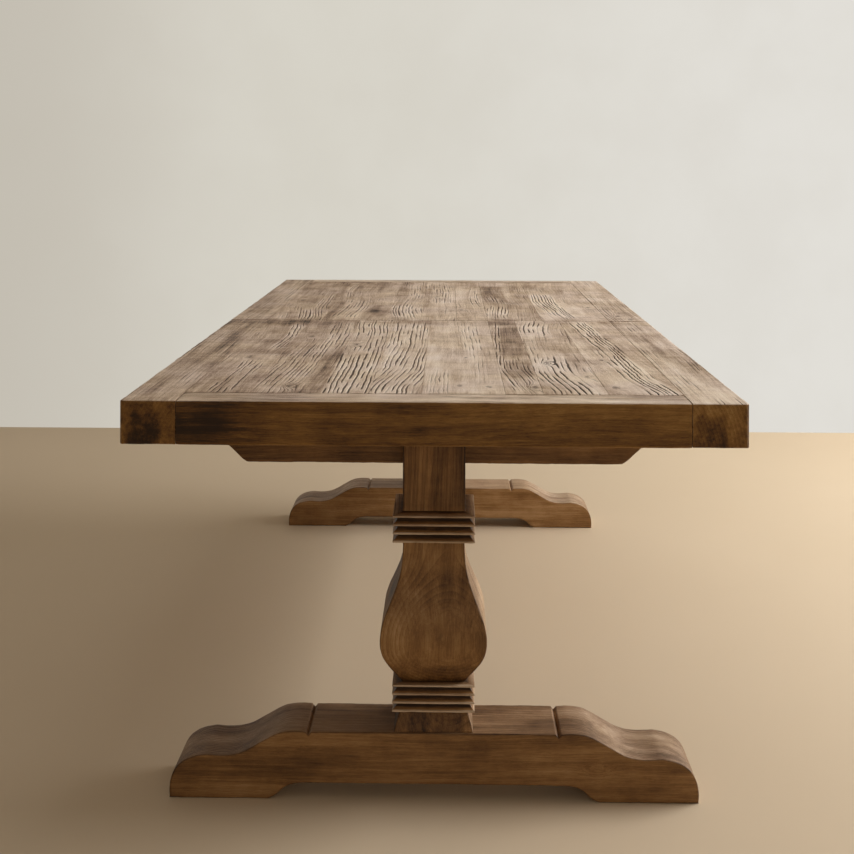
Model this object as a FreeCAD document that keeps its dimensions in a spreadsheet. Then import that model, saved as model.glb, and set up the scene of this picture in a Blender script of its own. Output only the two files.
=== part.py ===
import FreeCAD, Part
import math
import os
import re
import Sketcher

# Trestle extension table. X is the width, Y the length (the near end is at -Y), Z is up.
# The origin is on the floor, in the middle of the table. All lengths are in millimetres.

DRIVING_SIZES = {
    # whole table
    "table_length": 2134,
    "table_width": 1067,
    "table_height": 762,
    "seam_gap": 1.2,
    # frame of the top
    "frame_depth": 76,
    "side_rail_width": 96,
    "end_rail_width": 75,
    "rail_round": 3,
    "rail_tenon_length": 30,
    "rail_tenon_height": 40,
    "rail_tenon_thickness": 25,
    # boards and cleats
    "board_thickness": 28,
    "board_gap": 0.4,
    "board_bevel": 1.2,
    "cleat_width": 70,
    "cleat_housing": 12,
    "cleat_setback": 6,
    # trestles
    "trestle_inset": 228,
    "foot_length": 970,
    "foot_thickness": 122,
    "foot_height": 123.5,
    "scroll_height": 124.5,
    "toe_height": 80,
    "groove_offset": 229,
    "groove_width": 10,
    "groove_depth": 6,
    "arch_height": 29,
    "arch_length": 604,
    "arch_flat_length": 474,
    "plinth_height": 44.5,
    "plinth_width": 146,
    "plinth_top_width": 124,
    "plinth_depth": 114,
    "collar_height": 50,
    "collar_slope": 1,
    "collar_ridge_width": 150.5,
    "collar_valley_width": 132,
    "collar_edge": 3.4,
    "core_width": 110,
    "bulb_width": 194,
    "bulb_foot_width": 116,
    "neck_width": 114,
    "upper_collar_height": 53.3,
    "upper_collar_slope": 4,
    "shaft_width": 115.5,
    "shaft_length": 157.5,
    "bearer_height": 77,
    "bearer_thickness": 60,
    "bearer_bottom_length": 700,
    "bearer_end_cut": 82,
    "bearer_round": 22,
    "post_tenon_width": 78,
    "post_tenon_depth": 70,
    "post_tenon_sink": 60,
    # stretcher
    "stretcher_width": 70,
    "stretcher_round": 3,
    "stretcher_seat": 60,
    "dowel_radius": 8,
    "dowel_length": 70,
    # slides
    "slide_offset": 255,
    "slide_bar_width": 46,
    "slide_bar_height": 26,
    "slide_bar_overhang": 12,
    "runner_width": 30,
    "runner_end_setback": 30,
    "runner_reach": 360,
    "runner_relief": 1,
    "tongue_depth": 9,
    "tongue_height": 9,
    # fasteners
    "screw_length": 40,
    "screw_radius": 2,
    "screw_head_radius": 4,
    "screw_head_height": 3,
    "screw_stagger": 15,
    "bolt_radius": 5,
    "bolt_head_radius": 10,
    "bolt_head_height": 7,
    "foot_bolt_length": 150,
    "bearer_bolt_length": 140,
    "bearer_bolt_spacing": 60,
    "pin_radius": 4,
    "pin_length": 36,
    "pin_reach": 14,
    "board_pin_offset": 90,
    # locks
    "lock_pivot_setback": 45,
    "lock_reach": 72,
    "lock_plate_thickness": 3,
    "lock_plate_length": 48,
    "lock_plate_width": 30,
    "lock_stud_radius": 4,
    "lock_head_radius": 7,
    "lock_head_height": 3,
    "lever_thickness": 4,
    "lever_width": 20,
    # clearances and overrun
    "running_clearance": 0.4,
    "fitting_clearance": 0.2,
    "bore_clearance": 0.15,
    "overrun": 2,
}

NEAR_BOARD_WIDTH_SHARES = (0.127, 0.144, 0.099, 0.106, 0.168, 0.077, 0.130, 0.149)
FAR_BOARD_WIDTH_SHARES = (0.157, 0.191, 0.099, 0.106, 0.091, 0.160, 0.196)

# Foot outline from the groove outwards: share of the way from the groove to the toe end, and share
# of the way from the toe height to the scroll height.
FOOT_CREST_SHARES = ((0.045, 1.0), (0.10, 1.0), (0.19, 0.93), (0.28, 0.70), (0.375, 0.40),
                     (0.47, 0.12), (0.56, 0.0), (0.64, -0.02), (0.73, 0.02))
# Toe outline: share of the way from the groove to the toe end, and share of the toe height.
FOOT_TOE_SHARES = ((0.84, 0.94), (0.94, 0.74), (0.987, 0.46), (1.0, 0.20), (0.997, 0.0))
# Arch outline: share of the way from the flat to the springing, and share of the arch height.
ARCH_SHARES = ((0.30, 0.93), (0.60, 0.62), (0.80, 0.22), (1.0, 0.0))
# Baluster outline: share of the bulb length, and share of half the bulb width.
BULB_SHARES = ((0.066, 0.715), (0.14, 0.845), (0.22, 0.95), (0.325, 1.0), (0.43, 0.965),
               (0.52, 0.885), (0.61, 0.785), (0.70, 0.69), (0.80, 0.62), (0.90, 0.592))
PLINTH_COVE_SHARES = ((0.35, 0.38), (0.70, 0.80))
RIDGES_PER_COLLAR = 4
BLIND_BORE_SPARE_SHARE = 0.2
# Shares of the bulb length at which the bottom and the top of the stretcher lie.
STRETCHER_BOTTOM_SHARE = 0.11
STRETCHER_TOP_SHARE = 0.56
DOWEL_SPACING_SHARE = 0.54
# Distance of a slide bar's screws from its middle line, as a share of its width.
SLIDE_SCREW_SHARE = 0.2
# Length of a lock lever past its notch, as a share of its width.
LEVER_NOSE_SHARE = 0.33
# Two edges lie in one place when they are closer than this share of the fitting clearance.
SAME_PLACE_SHARE = 0.1

TOP_UNDERSIDE = "(table_height - frame_depth)"
BOARD_UNDERSIDE = "(table_height - board_thickness)"
HALF_WIDTH = "(table_width / 2)"
HALF_LENGTH = "(table_length / 2)"
SEAM_EDGE = "(seam_gap / 2)"
PANEL_WIDTH = "(table_width - 2 * side_rail_width)"
PANEL_END = "(table_length / 2 - end_rail_width)"
PLINTH_TOP = "(foot_height + plinth_height)"
BULB_BOTTOM = "(foot_height + plinth_height + collar_height)"
SHAFT_BOTTOM = f"({TOP_UNDERSIDE} - shaft_length)"
BULB_TOP = f"({SHAFT_BOTTOM} - upper_collar_height)"
BULB_LENGTH = f"({BULB_TOP} - {BULB_BOTTOM})"
TRESTLE_OFFSET = "(table_length / 2 - trestle_inset)"
STRETCHER_BOTTOM = f"({BULB_BOTTOM} + {STRETCHER_BOTTOM_SHARE} * {BULB_LENGTH})"
STRETCHER_TOP = f"({BULB_BOTTOM} + {STRETCHER_TOP_SHARE} * {BULB_LENGTH})"
CLEAT_BOTTOM = f"({TOP_UNDERSIDE} + slide_bar_height + running_clearance)"
LOCK_OFFSET = "(table_width / 2 - side_rail_width / 2)"
SLIDE_SCREW_TOP = f"({TOP_UNDERSIDE} + slide_bar_height - fitting_clearance)"
SLIDE_SCREW_TIP = f"({TOP_UNDERSIDE} + slide_bar_height - fitting_clearance - screw_length)"
PIN_LEVEL = f"({BOARD_UNDERSIDE} + board_thickness / 2)"
BOARD_SCREW_HEAD = f"({CLEAT_BOTTOM} + fitting_clearance)"
BOARD_SCREW_TIP = f"({CLEAT_BOTTOM} + fitting_clearance + screw_length)"
RUNNER_BOTTOM = f"({TOP_UNDERSIDE} + running_clearance)"
RUNNER_SCREW_HEAD = f"({TOP_UNDERSIDE} + running_clearance + fitting_clearance)"
RUNNER_SCREW_TIP = f"({TOP_UNDERSIDE} + running_clearance + fitting_clearance + screw_length)"
PLATE_BOTTOM = f"({TOP_UNDERSIDE} - lock_plate_thickness)"
LEVER_TOP = f"({PLATE_BOTTOM} - running_clearance)"
LEVER_BOTTOM = f"({LEVER_TOP} - lever_thickness)"
STUD_HEAD_TOP = f"({LEVER_BOTTOM} - running_clearance)"
STUD_HEAD_BOTTOM = f"({STUD_HEAD_TOP} - lock_head_height)"

doc = FreeCAD.newDocument("TrestleTable")
sheet = doc.addObject("Spreadsheet::Sheet", "Size")
for row, (alias, value) in enumerate(DRIVING_SIZES.items(), start=1):
    cell = f"B{row}"
    sheet.set(f"A{row}", alias.replace("_", " "))
    sheet.set(cell, str(value))
    sheet.setAlias(cell, alias)
doc.recompute()

subparts = []


def bound(text):
    """The expression with each size's name looked up in the sheet."""
    return re.sub(r"[a-z][a-z_]*", lambda found: "Size." + found.group(0), str(text))


def length(text):
    """The present value of an expression."""
    return float(sheet.evalExpression(bound(text)))


def new_body(label):
    body = doc.addObject("PartDesign::Body", label)
    body.Label = label
    subparts.append(body)
    return body


def sketch_on(body, role, offset="0"):
    """A sketch on one of the body's own origin planes, moved along that plane's normal."""
    origin_plane = next(plane for plane in body.Origin.OriginFeatures if plane.Role == role)
    sketch = body.newObject("Sketcher::SketchObject", f"{body.Name}_sketch")
    sketch.AttachmentSupport = [(origin_plane, "")]
    sketch.MapMode = "FlatFace"
    sketch.setExpression(".AttachmentOffset.Base.z", bound(offset))
    return sketch


def fix_point(sketch, edge, end, across, up):
    """Ties one end of an edge to its place in the sheet."""
    for kind, text in (("DistanceX", across), ("DistanceY", up)):
        index = sketch.addConstraint(Sketcher.Constraint(kind, edge, end, length(text)))
        sketch.setExpression(f"Constraints[{index}]", bound(text))


def add_outline(sketch, stretches):
    """A closed outline. Each stretch is the list of points that it passes through: a stretch of two
    points is a straight line, and a longer one is a smooth curve."""
    edges = []
    for stretch in stretches:
        points = [FreeCAD.Vector(length(across), length(up), 0) for across, up in stretch]
        if len(points) == 2:
            curve = Part.LineSegment(points[0], points[1])
        else:
            curve = Part.BSplineCurve()
            curve.interpolate(points)
        edges.append(sketch.addGeometry(curve, False))
    for place, edge in enumerate(edges):
        following = edges[(place + 1) % len(edges)]
        sketch.addConstraint(Sketcher.Constraint("Coincident", edge, 2, following, 1))
        fix_point(sketch, edge, 1, *stretches[place][0])


def chain(points):
    """Straight stretches that join the points and close."""
    return [[points[place], points[(place + 1) % len(points)]] for place in range(len(points))]


def add_rectangle(sketch, across_range, up_range):
    (left, right), (low, high) = across_range, up_range
    add_outline(sketch, chain([(left, low), (right, low), (right, high), (left, high)]))


def add_circles(sketch, centres, radius):
    for across, up in centres:
        centre = FreeCAD.Vector(length(across), length(up), 0)
        circle = sketch.addGeometry(Part.Circle(centre, FreeCAD.Vector(0, 0, 1), length(radius)), False)
        fix_point(sketch, circle, 3, across, up)
        index = sketch.addConstraint(Sketcher.Constraint("Radius", circle, length(radius)))
        sketch.setExpression(f"Constraints[{index}]", bound(radius))


def pad(body, sketch, depth, symmetric=False):
    feature = body.newObject("PartDesign::Pad", f"{body.Name}_pad")
    feature.Profile = sketch
    feature.SideType = "Symmetric" if symmetric else "One side"
    feature.setExpression("Length", bound(depth))
    sketch.Visibility = False
    doc.recompute()
    return feature


def pocket(body, sketch, depth, symmetric=False):
    """Cuts against the sketch's normal, and makes sure that it took something away."""
    before = body.Shape.Volume
    feature = body.newObject("PartDesign::Pocket", f"{body.Name}_pocket")
    feature.Profile = sketch
    feature.SideType = "Symmetric" if symmetric else "One side"
    feature.setExpression("Length", bound(depth))
    sketch.Visibility = False
    doc.recompute()
    if not body.Shape.Volume < before:
        raise RuntimeError(f"a pocket of {body.Label} cuts nothing")
    return feature


def block(label, x_range, y_range, z_range):
    body = new_body(label)
    low, high = z_range
    sketch = sketch_on(body, "XY_Plane", low)
    add_rectangle(sketch, x_range, y_range)
    pad(body, sketch, f"{high} - {low}")
    return body


def cut_box(body, x_range, y_range, z_range):
    low, high = z_range
    sketch = sketch_on(body, "XY_Plane", high)
    add_rectangle(sketch, x_range, y_range)
    pocket(body, sketch, f"{high} - {low}")


def cut_upright_bores(body, centres, radius, z_range):
    low, high = z_range
    sketch = sketch_on(body, "XY_Plane", high)
    add_circles(sketch, centres, radius)
    pocket(body, sketch, f"{high} - {low}")


def cut_level_bores(body, centres, radius, y_range):
    """Bores along the table's length; the plane's normal points to -Y."""
    low, high = y_range
    sketch = sketch_on(body, "XZ_Plane", f"-({low})")
    add_circles(sketch, centres, radius)
    pocket(body, sketch, f"{high} - ({low})")


def add_upright_rods(body, centres, radius, z_range):
    low, high = z_range
    sketch = sketch_on(body, "XY_Plane", low)
    add_circles(sketch, centres, radius)
    pad(body, sketch, f"{high} - ({low})")


def add_level_rods(body, centres, radius, y_range):
    low, high = y_range
    sketch = sketch_on(body, "XZ_Plane", f"-({high})")
    add_circles(sketch, centres, radius)
    pad(body, sketch, f"{high} - ({low})")


def edges_of(feature, wanted):
    return [f"Edge{place}" for place, edge in enumerate(feature.Shape.Edges, start=1) if wanted(edge)]


def round_edges(body, feature, wanted, radius):
    fillet = body.newObject("PartDesign::Fillet", f"{body.Name}_round")
    fillet.Base = (feature, edges_of(feature, wanted))
    fillet.setExpression("Radius", bound(radius))
    doc.recompute()
    return fillet


def bevel_edges(body, feature, wanted, size):
    chamfer = body.newObject("PartDesign::Chamfer", f"{body.Name}_bevel")
    chamfer.Base = (feature, edges_of(feature, wanted))
    chamfer.setExpression("Size", bound(size))
    doc.recompute()
    return chamfer


def near(value, text):
    closeness = length(f"{SAME_PLACE_SHARE} * fitting_clearance")
    return math.isclose(value, length(text), rel_tol=0, abs_tol=closeness)


def lies_at(edge, x=None, y=None, z=None):
    """True where the whole edge lies on each of the planes that are named."""
    box = edge.BoundBox
    spans = ((box.XMin, box.XMax, x), (box.YMin, box.YMax, y), (box.ZMin, box.ZMax, z))
    return all(text is None or (near(low, text) and near(high, text)) for low, high, text in spans)


# Feet

def foot_stretches():
    toe_end = "(foot_length / 2)"
    groove_out = "(groove_offset + groove_width / 2)"
    groove_in = "(groove_offset - groove_width / 2)"
    reach = f"({toe_end} - {groove_out})"
    groove_bottom = "(foot_height - groove_depth)"
    crest = [(groove_out, "foot_height")]
    for along, up in FOOT_CREST_SHARES:
        crest.append((f"{groove_out} + {along} * {reach}",
                      f"toe_height + {up} * (scroll_height - toe_height)"))
    toe = [crest[-1]]
    for along, up in FOOT_TOE_SHARES:
        toe.append((f"{groove_out} + {along} * {reach}", f"{up} * toe_height"))
    springing = "(arch_length / 2)"
    flat_end = "(arch_flat_length / 2)"
    arch = [(flat_end, "arch_height")]
    for along, up in ARCH_SHARES:
        arch.append((f"{flat_end} + {along} * ({springing} - {flat_end})", f"{up} * arch_height"))
    arch.reverse()
    right = [
        [(groove_in, "foot_height"), ("groove_offset", groove_bottom)],
        [("groove_offset", groove_bottom), crest[0]],
        crest,
        toe,
        [toe[-1], arch[0]],
        arch,
    ]
    left = [[(f"-({across})", up) for across, up in reversed(stretch)] for stretch in reversed(right)]
    over = [[left[-1][-1], right[0][0]]]
    under = [[right[-1][-1], left[0][0]]]
    return over + right + under + left


def foot_blank(label):
    """The whole outline of a foot, with its toes."""
    body = new_body(label)
    outline = sketch_on(body, "XZ_Plane")
    add_outline(outline, foot_stretches())
    pad(body, outline, "foot_thickness", symmetric=True)
    return body


def cut_foot_slice(body, z_range):
    reach = "(foot_length / 2 + overrun)"
    half_deep = "(foot_thickness / 2 + overrun)"
    cut_box(body, (f"-{reach}", reach), (f"-{half_deep}", half_deep), z_range)


def make_foot_pads(label, side):
    """The two toes under a foot, glued on below the height of the arch."""
    body = foot_blank(label)
    cut_foot_slice(body, ("(arch_height - fitting_clearance)", "(scroll_height + overrun)"))
    body.setExpression(".Placement.Base.y", bound(f"{side} * {TRESTLE_OFFSET}"))
    return body


def make_foot(label, side):
    """The foot above its two glued toes."""
    body = foot_blank(label)
    cut_foot_slice(body, ("(-overrun)", "arch_height"))
    half_wide = "(post_tenon_width / 2 + fitting_clearance)"
    half_deep = "(post_tenon_depth / 2 + fitting_clearance)"
    mortise_floor = "foot_height - post_tenon_sink - fitting_clearance"
    cut_box(body, (f"-{half_wide}", half_wide), (f"-{half_deep}", half_deep),
            (f"({mortise_floor})", "foot_height"))
    head_room = "(arch_height + bolt_head_height + fitting_clearance)"
    cut_upright_bores(body, [("0", "0")], "bolt_head_radius + bore_clearance",
                      ("(arch_height - overrun)", head_room))
    cut_upright_bores(body, [("0", "0")], "bolt_radius + bore_clearance",
                      (f"({head_room} - overrun)", f"({mortise_floor} + overrun)"))
    body.setExpression(".Placement.Base.y", bound(f"{side} * {TRESTLE_OFFSET}"))
    return body


def make_plinth(label, side):
    """A square block with coved sides: the front outline, trimmed by the side outline."""
    body = new_body(label)

    def right_side(bottom, top):
        side_points = [(f"{bottom} / 2", "foot_height")]
        for up, inward in PLINTH_COVE_SHARES:
            side_points.append((f"{bottom} / 2 - {inward} * ({bottom} - {top}) / 2",
                                f"foot_height + {up} * plinth_height"))
        side_points.append((f"{top} / 2", PLINTH_TOP))
        return side_points

    def closed(points):
        other = [(f"-({across})", up) for across, up in reversed(points)]
        return [points, [points[-1], other[0]], other, [other[-1], points[0]]]

    front = sketch_on(body, "XZ_Plane")
    add_outline(front, closed(right_side("plinth_width", "plinth_top_width")))
    pad(body, front, "plinth_width", symmetric=True)
    trim = sketch_on(body, "YZ_Plane")
    top_depth = "(plinth_depth - plinth_width + plinth_top_width)"
    add_outline(trim, closed(right_side("plinth_depth", top_depth)))
    outer = "(plinth_width / 2 + overrun)"
    add_rectangle(trim, (f"-{outer}", outer), ("(foot_height - overrun)", f"({PLINTH_TOP} + overrun)"))
    pocket(body, trim, "plinth_width + 2 * overrun", symmetric=True)
    half_wide = "(post_tenon_width / 2 + fitting_clearance)"
    half_deep = "(post_tenon_depth / 2 + fitting_clearance)"
    cut_box(body, (f"-{half_wide}", half_wide), (f"-{half_deep}", half_deep),
            ("(foot_height - overrun)", f"({PLINTH_TOP} + overrun)"))
    body.setExpression(".Placement.Base.y", bound(f"{side} * {TRESTLE_OFFSET}"))
    return body


# Posts

def post_outline():
    swell = [(f"{wide} * bulb_width / 2", f"{BULB_BOTTOM} + {up} * {BULB_LENGTH}")
             for up, wide in BULB_SHARES]
    right = [
        [("core_width / 2", PLINTH_TOP), ("core_width / 2", BULB_BOTTOM)],
        [("core_width / 2", BULB_BOTTOM), ("bulb_foot_width / 2", BULB_BOTTOM)],
        [("bulb_foot_width / 2", BULB_BOTTOM)] + swell + [("neck_width / 2", BULB_TOP)],
        [("neck_width / 2", BULB_TOP), ("core_width / 2", BULB_TOP)],
        [("core_width / 2", BULB_TOP), ("core_width / 2", SHAFT_BOTTOM)],
        [("core_width / 2", SHAFT_BOTTOM), ("shaft_width / 2", SHAFT_BOTTOM)],
        [("shaft_width / 2", SHAFT_BOTTOM), ("shaft_width / 2", TOP_UNDERSIDE)],
    ]
    left = [[(f"-({across})", up) for across, up in reversed(stretch)] for stretch in reversed(right)]
    return right + [[right[-1][-1], left[0][0]]] + left + [[left[-1][-1], right[0][0]]]


def make_post(label, side):
    """A square baluster: the outline cut once across the width and once across the depth."""
    body = new_body(label)
    front = sketch_on(body, "XZ_Plane")
    add_outline(front, post_outline())
    pad(body, front, "bulb_width + 2 * overrun", symmetric=True)
    waste = sketch_on(body, "YZ_Plane")
    add_outline(waste, post_outline())
    outer = "(bulb_width / 2 + 2 * overrun)"
    add_rectangle(waste, (f"-{outer}", outer),
                  (f"({PLINTH_TOP} - overrun)", f"({TOP_UNDERSIDE} + overrun)"))
    pocket(body, waste, "bulb_width + 2 * overrun", symmetric=True)

    tenon = sketch_on(body, "XY_Plane", "foot_height - post_tenon_sink")
    add_rectangle(tenon, ("-post_tenon_width / 2", "post_tenon_width / 2"),
                  ("-post_tenon_depth / 2", "post_tenon_depth / 2"))
    pad(body, tenon, "post_tenon_sink + plinth_height")

    slot_half = "(bearer_thickness / 2 + fitting_clearance)"
    slot_side = "(shaft_width / 2 + overrun)"
    cut_box(body, (f"-{slot_side}", slot_side), (f"-{slot_half}", slot_half),
            (f"({TOP_UNDERSIDE} - bearer_height)", f"({TOP_UNDERSIDE} + overrun)"))

    # housing for the stretcher, on the side that faces the middle of the table
    wide = "(stretcher_width / 2 + fitting_clearance)"
    outer_y = "(bulb_width / 2 + overrun)"
    inner_range = ("stretcher_seat", outer_y) if side < 0 else (f"-{outer_y}", "-stretcher_seat")
    cut_box(body, (f"-{wide}", wide), inner_range,
            (f"({STRETCHER_BOTTOM} - fitting_clearance)", f"({STRETCHER_TOP} + fitting_clearance)"))
    bore_depth = f"(dowel_length / 2 + {BLIND_BORE_SPARE_SHARE} * dowel_radius)"
    if side < 0:
        bore_range = (f"(stretcher_seat - {bore_depth})", "(stretcher_seat + overrun)")
    else:
        bore_range = ("(-stretcher_seat - overrun)", f"(-stretcher_seat + {bore_depth})")
    cut_level_bores(body, dowel_centres(), "dowel_radius + bore_clearance", bore_range)

    bolt_top = "arch_height + bolt_head_height + foot_bolt_length"
    cut_upright_bores(body, [("0", "0")], "bolt_radius + bore_clearance",
                      ("(foot_height - post_tenon_sink - overrun)", f"({bolt_top} + fitting_clearance)"))
    seat = f"({TOP_UNDERSIDE} - bearer_height)"
    bolt_bottom = f"{TOP_UNDERSIDE} - bolt_head_height - bearer_bolt_length"
    cut_upright_bores(body, bearer_bolt_centres(), "bolt_radius + bore_clearance",
                      (f"({bolt_bottom} - fitting_clearance)", f"({seat} + overrun)"))
    body.setExpression(".Placement.Base.y", bound(f"{side} * {TRESTLE_OFFSET}"))
    return body


def dowel_centres():
    middle = f"({STRETCHER_BOTTOM} / 2 + {STRETCHER_TOP} / 2)"
    spacing = f"({DOWEL_SPACING_SHARE} * ({STRETCHER_TOP} - {STRETCHER_BOTTOM}))"
    return [("0", f"{middle} + {way} * {spacing} / 2") for way in (-1, 1)]


def bearer_bolt_centres():
    return [(f"{way} * bearer_bolt_spacing / 2", "0") for way in (-1, 1)]


# Collars

def make_collar_strip(label, bottom, height, slope):
    """One mitred moulding on the -Y side of the post. Its thin ridges are undercut, and the surface
    slopes out from each undercut to the ridge below it. The top one has its own slope."""
    body = doc.addObject("PartDesign::Body", label)
    ridge = "(collar_ridge_width / 2)"
    valley = "(collar_valley_width / 2)"
    core = "(core_width / 2 + fitting_clearance)"
    pitch = f"(({height} - {slope} - collar_edge) / ({RIDGES_PER_COLLAR} - 1))"
    points = [(f"-{core}", bottom)]
    for place in range(RIDGES_PER_COLLAR):
        ridge_bottom = f"{bottom} + {place} * {pitch}"
        if place:
            points.append((f"-{valley}", ridge_bottom))
        points.append((f"-{ridge}", ridge_bottom))
        points.append((f"-{ridge}", f"{ridge_bottom} + collar_edge"))
    points.append((f"-{core}", f"{bottom} + {height}"))
    outline = sketch_on(body, "YZ_Plane")
    add_outline(outline, chain(points))
    pad(body, outline, "collar_ridge_width", symmetric=True)
    mitres = sketch_on(body, "XY_Plane", f"{bottom} + {height} + overrun")
    far_out = f"({ridge} + overrun)"
    for way in ("", "-"):
        add_outline(mitres, chain([("0", "0"), (f"{way}{far_out}", f"-{far_out}"),
                                   (f"{way}2 * {far_out}", f"-{far_out}"), (f"{way}{far_out}", "0")]))
    pocket(body, mitres, f"{height} + 2 * overrun")
    return body


def make_collar(label, strip, side):
    """Four copies of the strip, mitred round the post."""
    copies = []
    for quarter in range(4):
        moulding = strip.Shape.copy()
        moulding.rotate(FreeCAD.Vector(0, 0, 0), FreeCAD.Vector(0, 0, 1), 90 * quarter)
        copies.append(moulding)
    collar = doc.addObject("Part::Feature", label)
    collar.Shape = Part.makeCompound(copies)
    collar.Placement = FreeCAD.Placement(FreeCAD.Vector(0, side * length(TRESTLE_OFFSET), 0),
                                         FreeCAD.Rotation())
    subparts.append(collar)
    return collar


# Bearers, stretcher and slide bars

def make_bearer(label, side):
    body = new_body(label)
    bottom = f"({TOP_UNDERSIDE} - bearer_height)"
    half_bottom = "(bearer_bottom_length / 2)"
    half_top = "(bearer_bottom_length / 2 + bearer_end_cut)"
    outline = sketch_on(body, "XZ_Plane")
    add_outline(outline, chain([(f"-{half_bottom}", bottom), (half_bottom, bottom),
                                (half_top, TOP_UNDERSIDE), (f"-{half_top}", TOP_UNDERSIDE)]))
    pad(body, outline, "bearer_thickness", symmetric=True)
    round_edges(body, body.Tip,
                lambda edge: lies_at(edge, x=f"-{half_bottom}") or lies_at(edge, x=half_bottom),
                "bearer_round")
    head_floor = f"({TOP_UNDERSIDE} - bolt_head_height - fitting_clearance)"
    cut_upright_bores(body, bearer_bolt_centres(), "bolt_head_radius + bore_clearance",
                      (head_floor, f"({TOP_UNDERSIDE} + overrun)"))
    cut_upright_bores(body, bearer_bolt_centres(), "bolt_radius + bore_clearance",
                      (f"({bottom} - overrun)", f"({head_floor} + overrun)"))
    screws = [(slide_screw_column(way, place), "0") for way in (-1, 1) for place in (-1, 1)]
    cut_upright_bores(body, screws, "screw_radius + bore_clearance",
                      (f"({SLIDE_SCREW_TIP} - fitting_clearance)", f"({TOP_UNDERSIDE} + overrun)"))
    body.setExpression(".Placement.Base.y", bound(f"{side} * {TRESTLE_OFFSET}"))
    return body


def slide_screw_column(way, place):
    return f"{way} * slide_offset + {place} * {SLIDE_SCREW_SHARE} * slide_bar_width"


def slide_screw_centres(ways):
    return [(slide_screw_column(way, place), f"{side} * {TRESTLE_OFFSET}")
            for way in ways for side in (-1, 1) for place in (-1, 1)]


def make_stretcher():
    half_length = f"({TRESTLE_OFFSET} - stretcher_seat)"
    body = block("stretcher", ("-stretcher_width / 2", "stretcher_width / 2"),
                 (f"-{half_length}", half_length), (STRETCHER_BOTTOM, STRETCHER_TOP))
    round_edges(body, body.Tip, lambda edge: not near(edge.BoundBox.YLength, "0"), "stretcher_round")
    for side in (-1, 1):
        bore_depth = f"(dowel_length / 2 + {BLIND_BORE_SPARE_SHARE} * dowel_radius)"
        if side < 0:
            bores = (f"(-{half_length} - overrun)", f"(-{half_length} + {bore_depth})")
        else:
            bores = (f"({half_length} - {bore_depth})", f"({half_length} + overrun)")
        cut_level_bores(body, dowel_centres(), "dowel_radius + bore_clearance", bores)
    return body


def make_slide_bar(label, way):
    half_length = f"({TRESTLE_OFFSET} + bearer_thickness / 2 + slide_bar_overhang)"
    left = f"{way} * slide_offset - slide_bar_width / 2"
    right = f"{way} * slide_offset + slide_bar_width / 2"
    middle = f"({TOP_UNDERSIDE} + slide_bar_height / 2)"
    groove_half = "(tongue_height / 2 + running_clearance)"
    groove_deep = "(tongue_depth + running_clearance)"
    body = block(label, (left, right), (f"-{half_length}", half_length),
                 (TOP_UNDERSIDE, f"({TOP_UNDERSIDE} + slide_bar_height)"))
    past = f"({half_length} + overrun)"
    for edge, inward in ((left, 1), (right, -1)):
        reach = (f"{edge} - {inward} * overrun", f"{edge} + {inward} * {groove_deep}")
        cut_box(body, reach, (f"-{past}", past),
                (f"({middle} - {groove_half})", f"({middle} + {groove_half})"))
    head_floor = f"({SLIDE_SCREW_TOP} - screw_head_height - fitting_clearance)"
    centres = slide_screw_centres((way,))
    cut_upright_bores(body, centres, "screw_head_radius + bore_clearance",
                      (head_floor, f"({TOP_UNDERSIDE} + slide_bar_height + overrun)"))
    cut_upright_bores(body, centres, "screw_radius + bore_clearance",
                      (f"({TOP_UNDERSIDE} - overrun)", f"({head_floor} + overrun)"))
    return body


# Fasteners of the base

def make_foot_bolts():
    body = new_body("foot_bolts")
    centres = [("0", f"{side} * {TRESTLE_OFFSET}") for side in (-1, 1)]
    head_top = "(arch_height + bolt_head_height)"
    add_upright_rods(body, centres, "bolt_head_radius", ("arch_height", head_top))
    add_upright_rods(body, centres, "bolt_radius", (head_top, f"({head_top} + foot_bolt_length)"))
    return body


def make_bearer_bolts():
    body = new_body("bearer_bolts")
    centres = [(across, f"{side} * {TRESTLE_OFFSET}") for side in (-1, 1)
               for across, _ in bearer_bolt_centres()]
    head_bottom = f"({TOP_UNDERSIDE} - bolt_head_height)"
    add_upright_rods(body, centres, "bolt_head_radius", (head_bottom, TOP_UNDERSIDE))
    add_upright_rods(body, centres, "bolt_radius", (f"({head_bottom} - bearer_bolt_length)", head_bottom))
    return body


def make_slide_screws():
    body = new_body("slide_bar_screws")
    centres = slide_screw_centres((-1, 1))
    head_bottom = f"({SLIDE_SCREW_TOP} - screw_head_height)"
    add_upright_rods(body, centres, "screw_head_radius", (head_bottom, SLIDE_SCREW_TOP))
    add_upright_rods(body, centres, "screw_radius", (SLIDE_SCREW_TIP, head_bottom))
    return body


def make_dowels():
    body = new_body("stretcher_dowels")
    for side in (-1, 1):
        middle = f"{side} * ({TRESTLE_OFFSET} - stretcher_seat)"
        add_level_rods(body, dowel_centres(), "dowel_radius",
                       (f"({middle} - dowel_length / 2)", f"({middle} + dowel_length / 2)"))
    return body


# Half tops. side is -1 for the near half and 1 for the far half.

def along(side, inner, outer):
    """A range of Y from two distances to the seam line, lowest first."""
    return (f"-({outer})", f"-({inner})") if side < 0 else (inner, outer)


def board_edges(shares):
    """The left and right edge of each board."""
    edges = []
    run = 0
    for share in shares:
        edges.append((f"(-{PANEL_WIDTH} / 2 + {run:.3f} * {PANEL_WIDTH} + board_gap / 2)",
                      f"(-{PANEL_WIDTH} / 2 + {run + share:.3f} * {PANEL_WIDTH} - board_gap / 2)"))
        run += share
    return edges


def cleat_places():
    """Distances from the seam line to the middle of each cleat."""
    seam = f"({SEAM_EDGE} + cleat_setback + cleat_width / 2)"
    end = f"({PANEL_END} - cleat_setback - cleat_width / 2)"
    return {"seam_cleat": seam, "middle_cleat": f"({seam} / 2 + {end} / 2)", "end_cleat": end}


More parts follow.
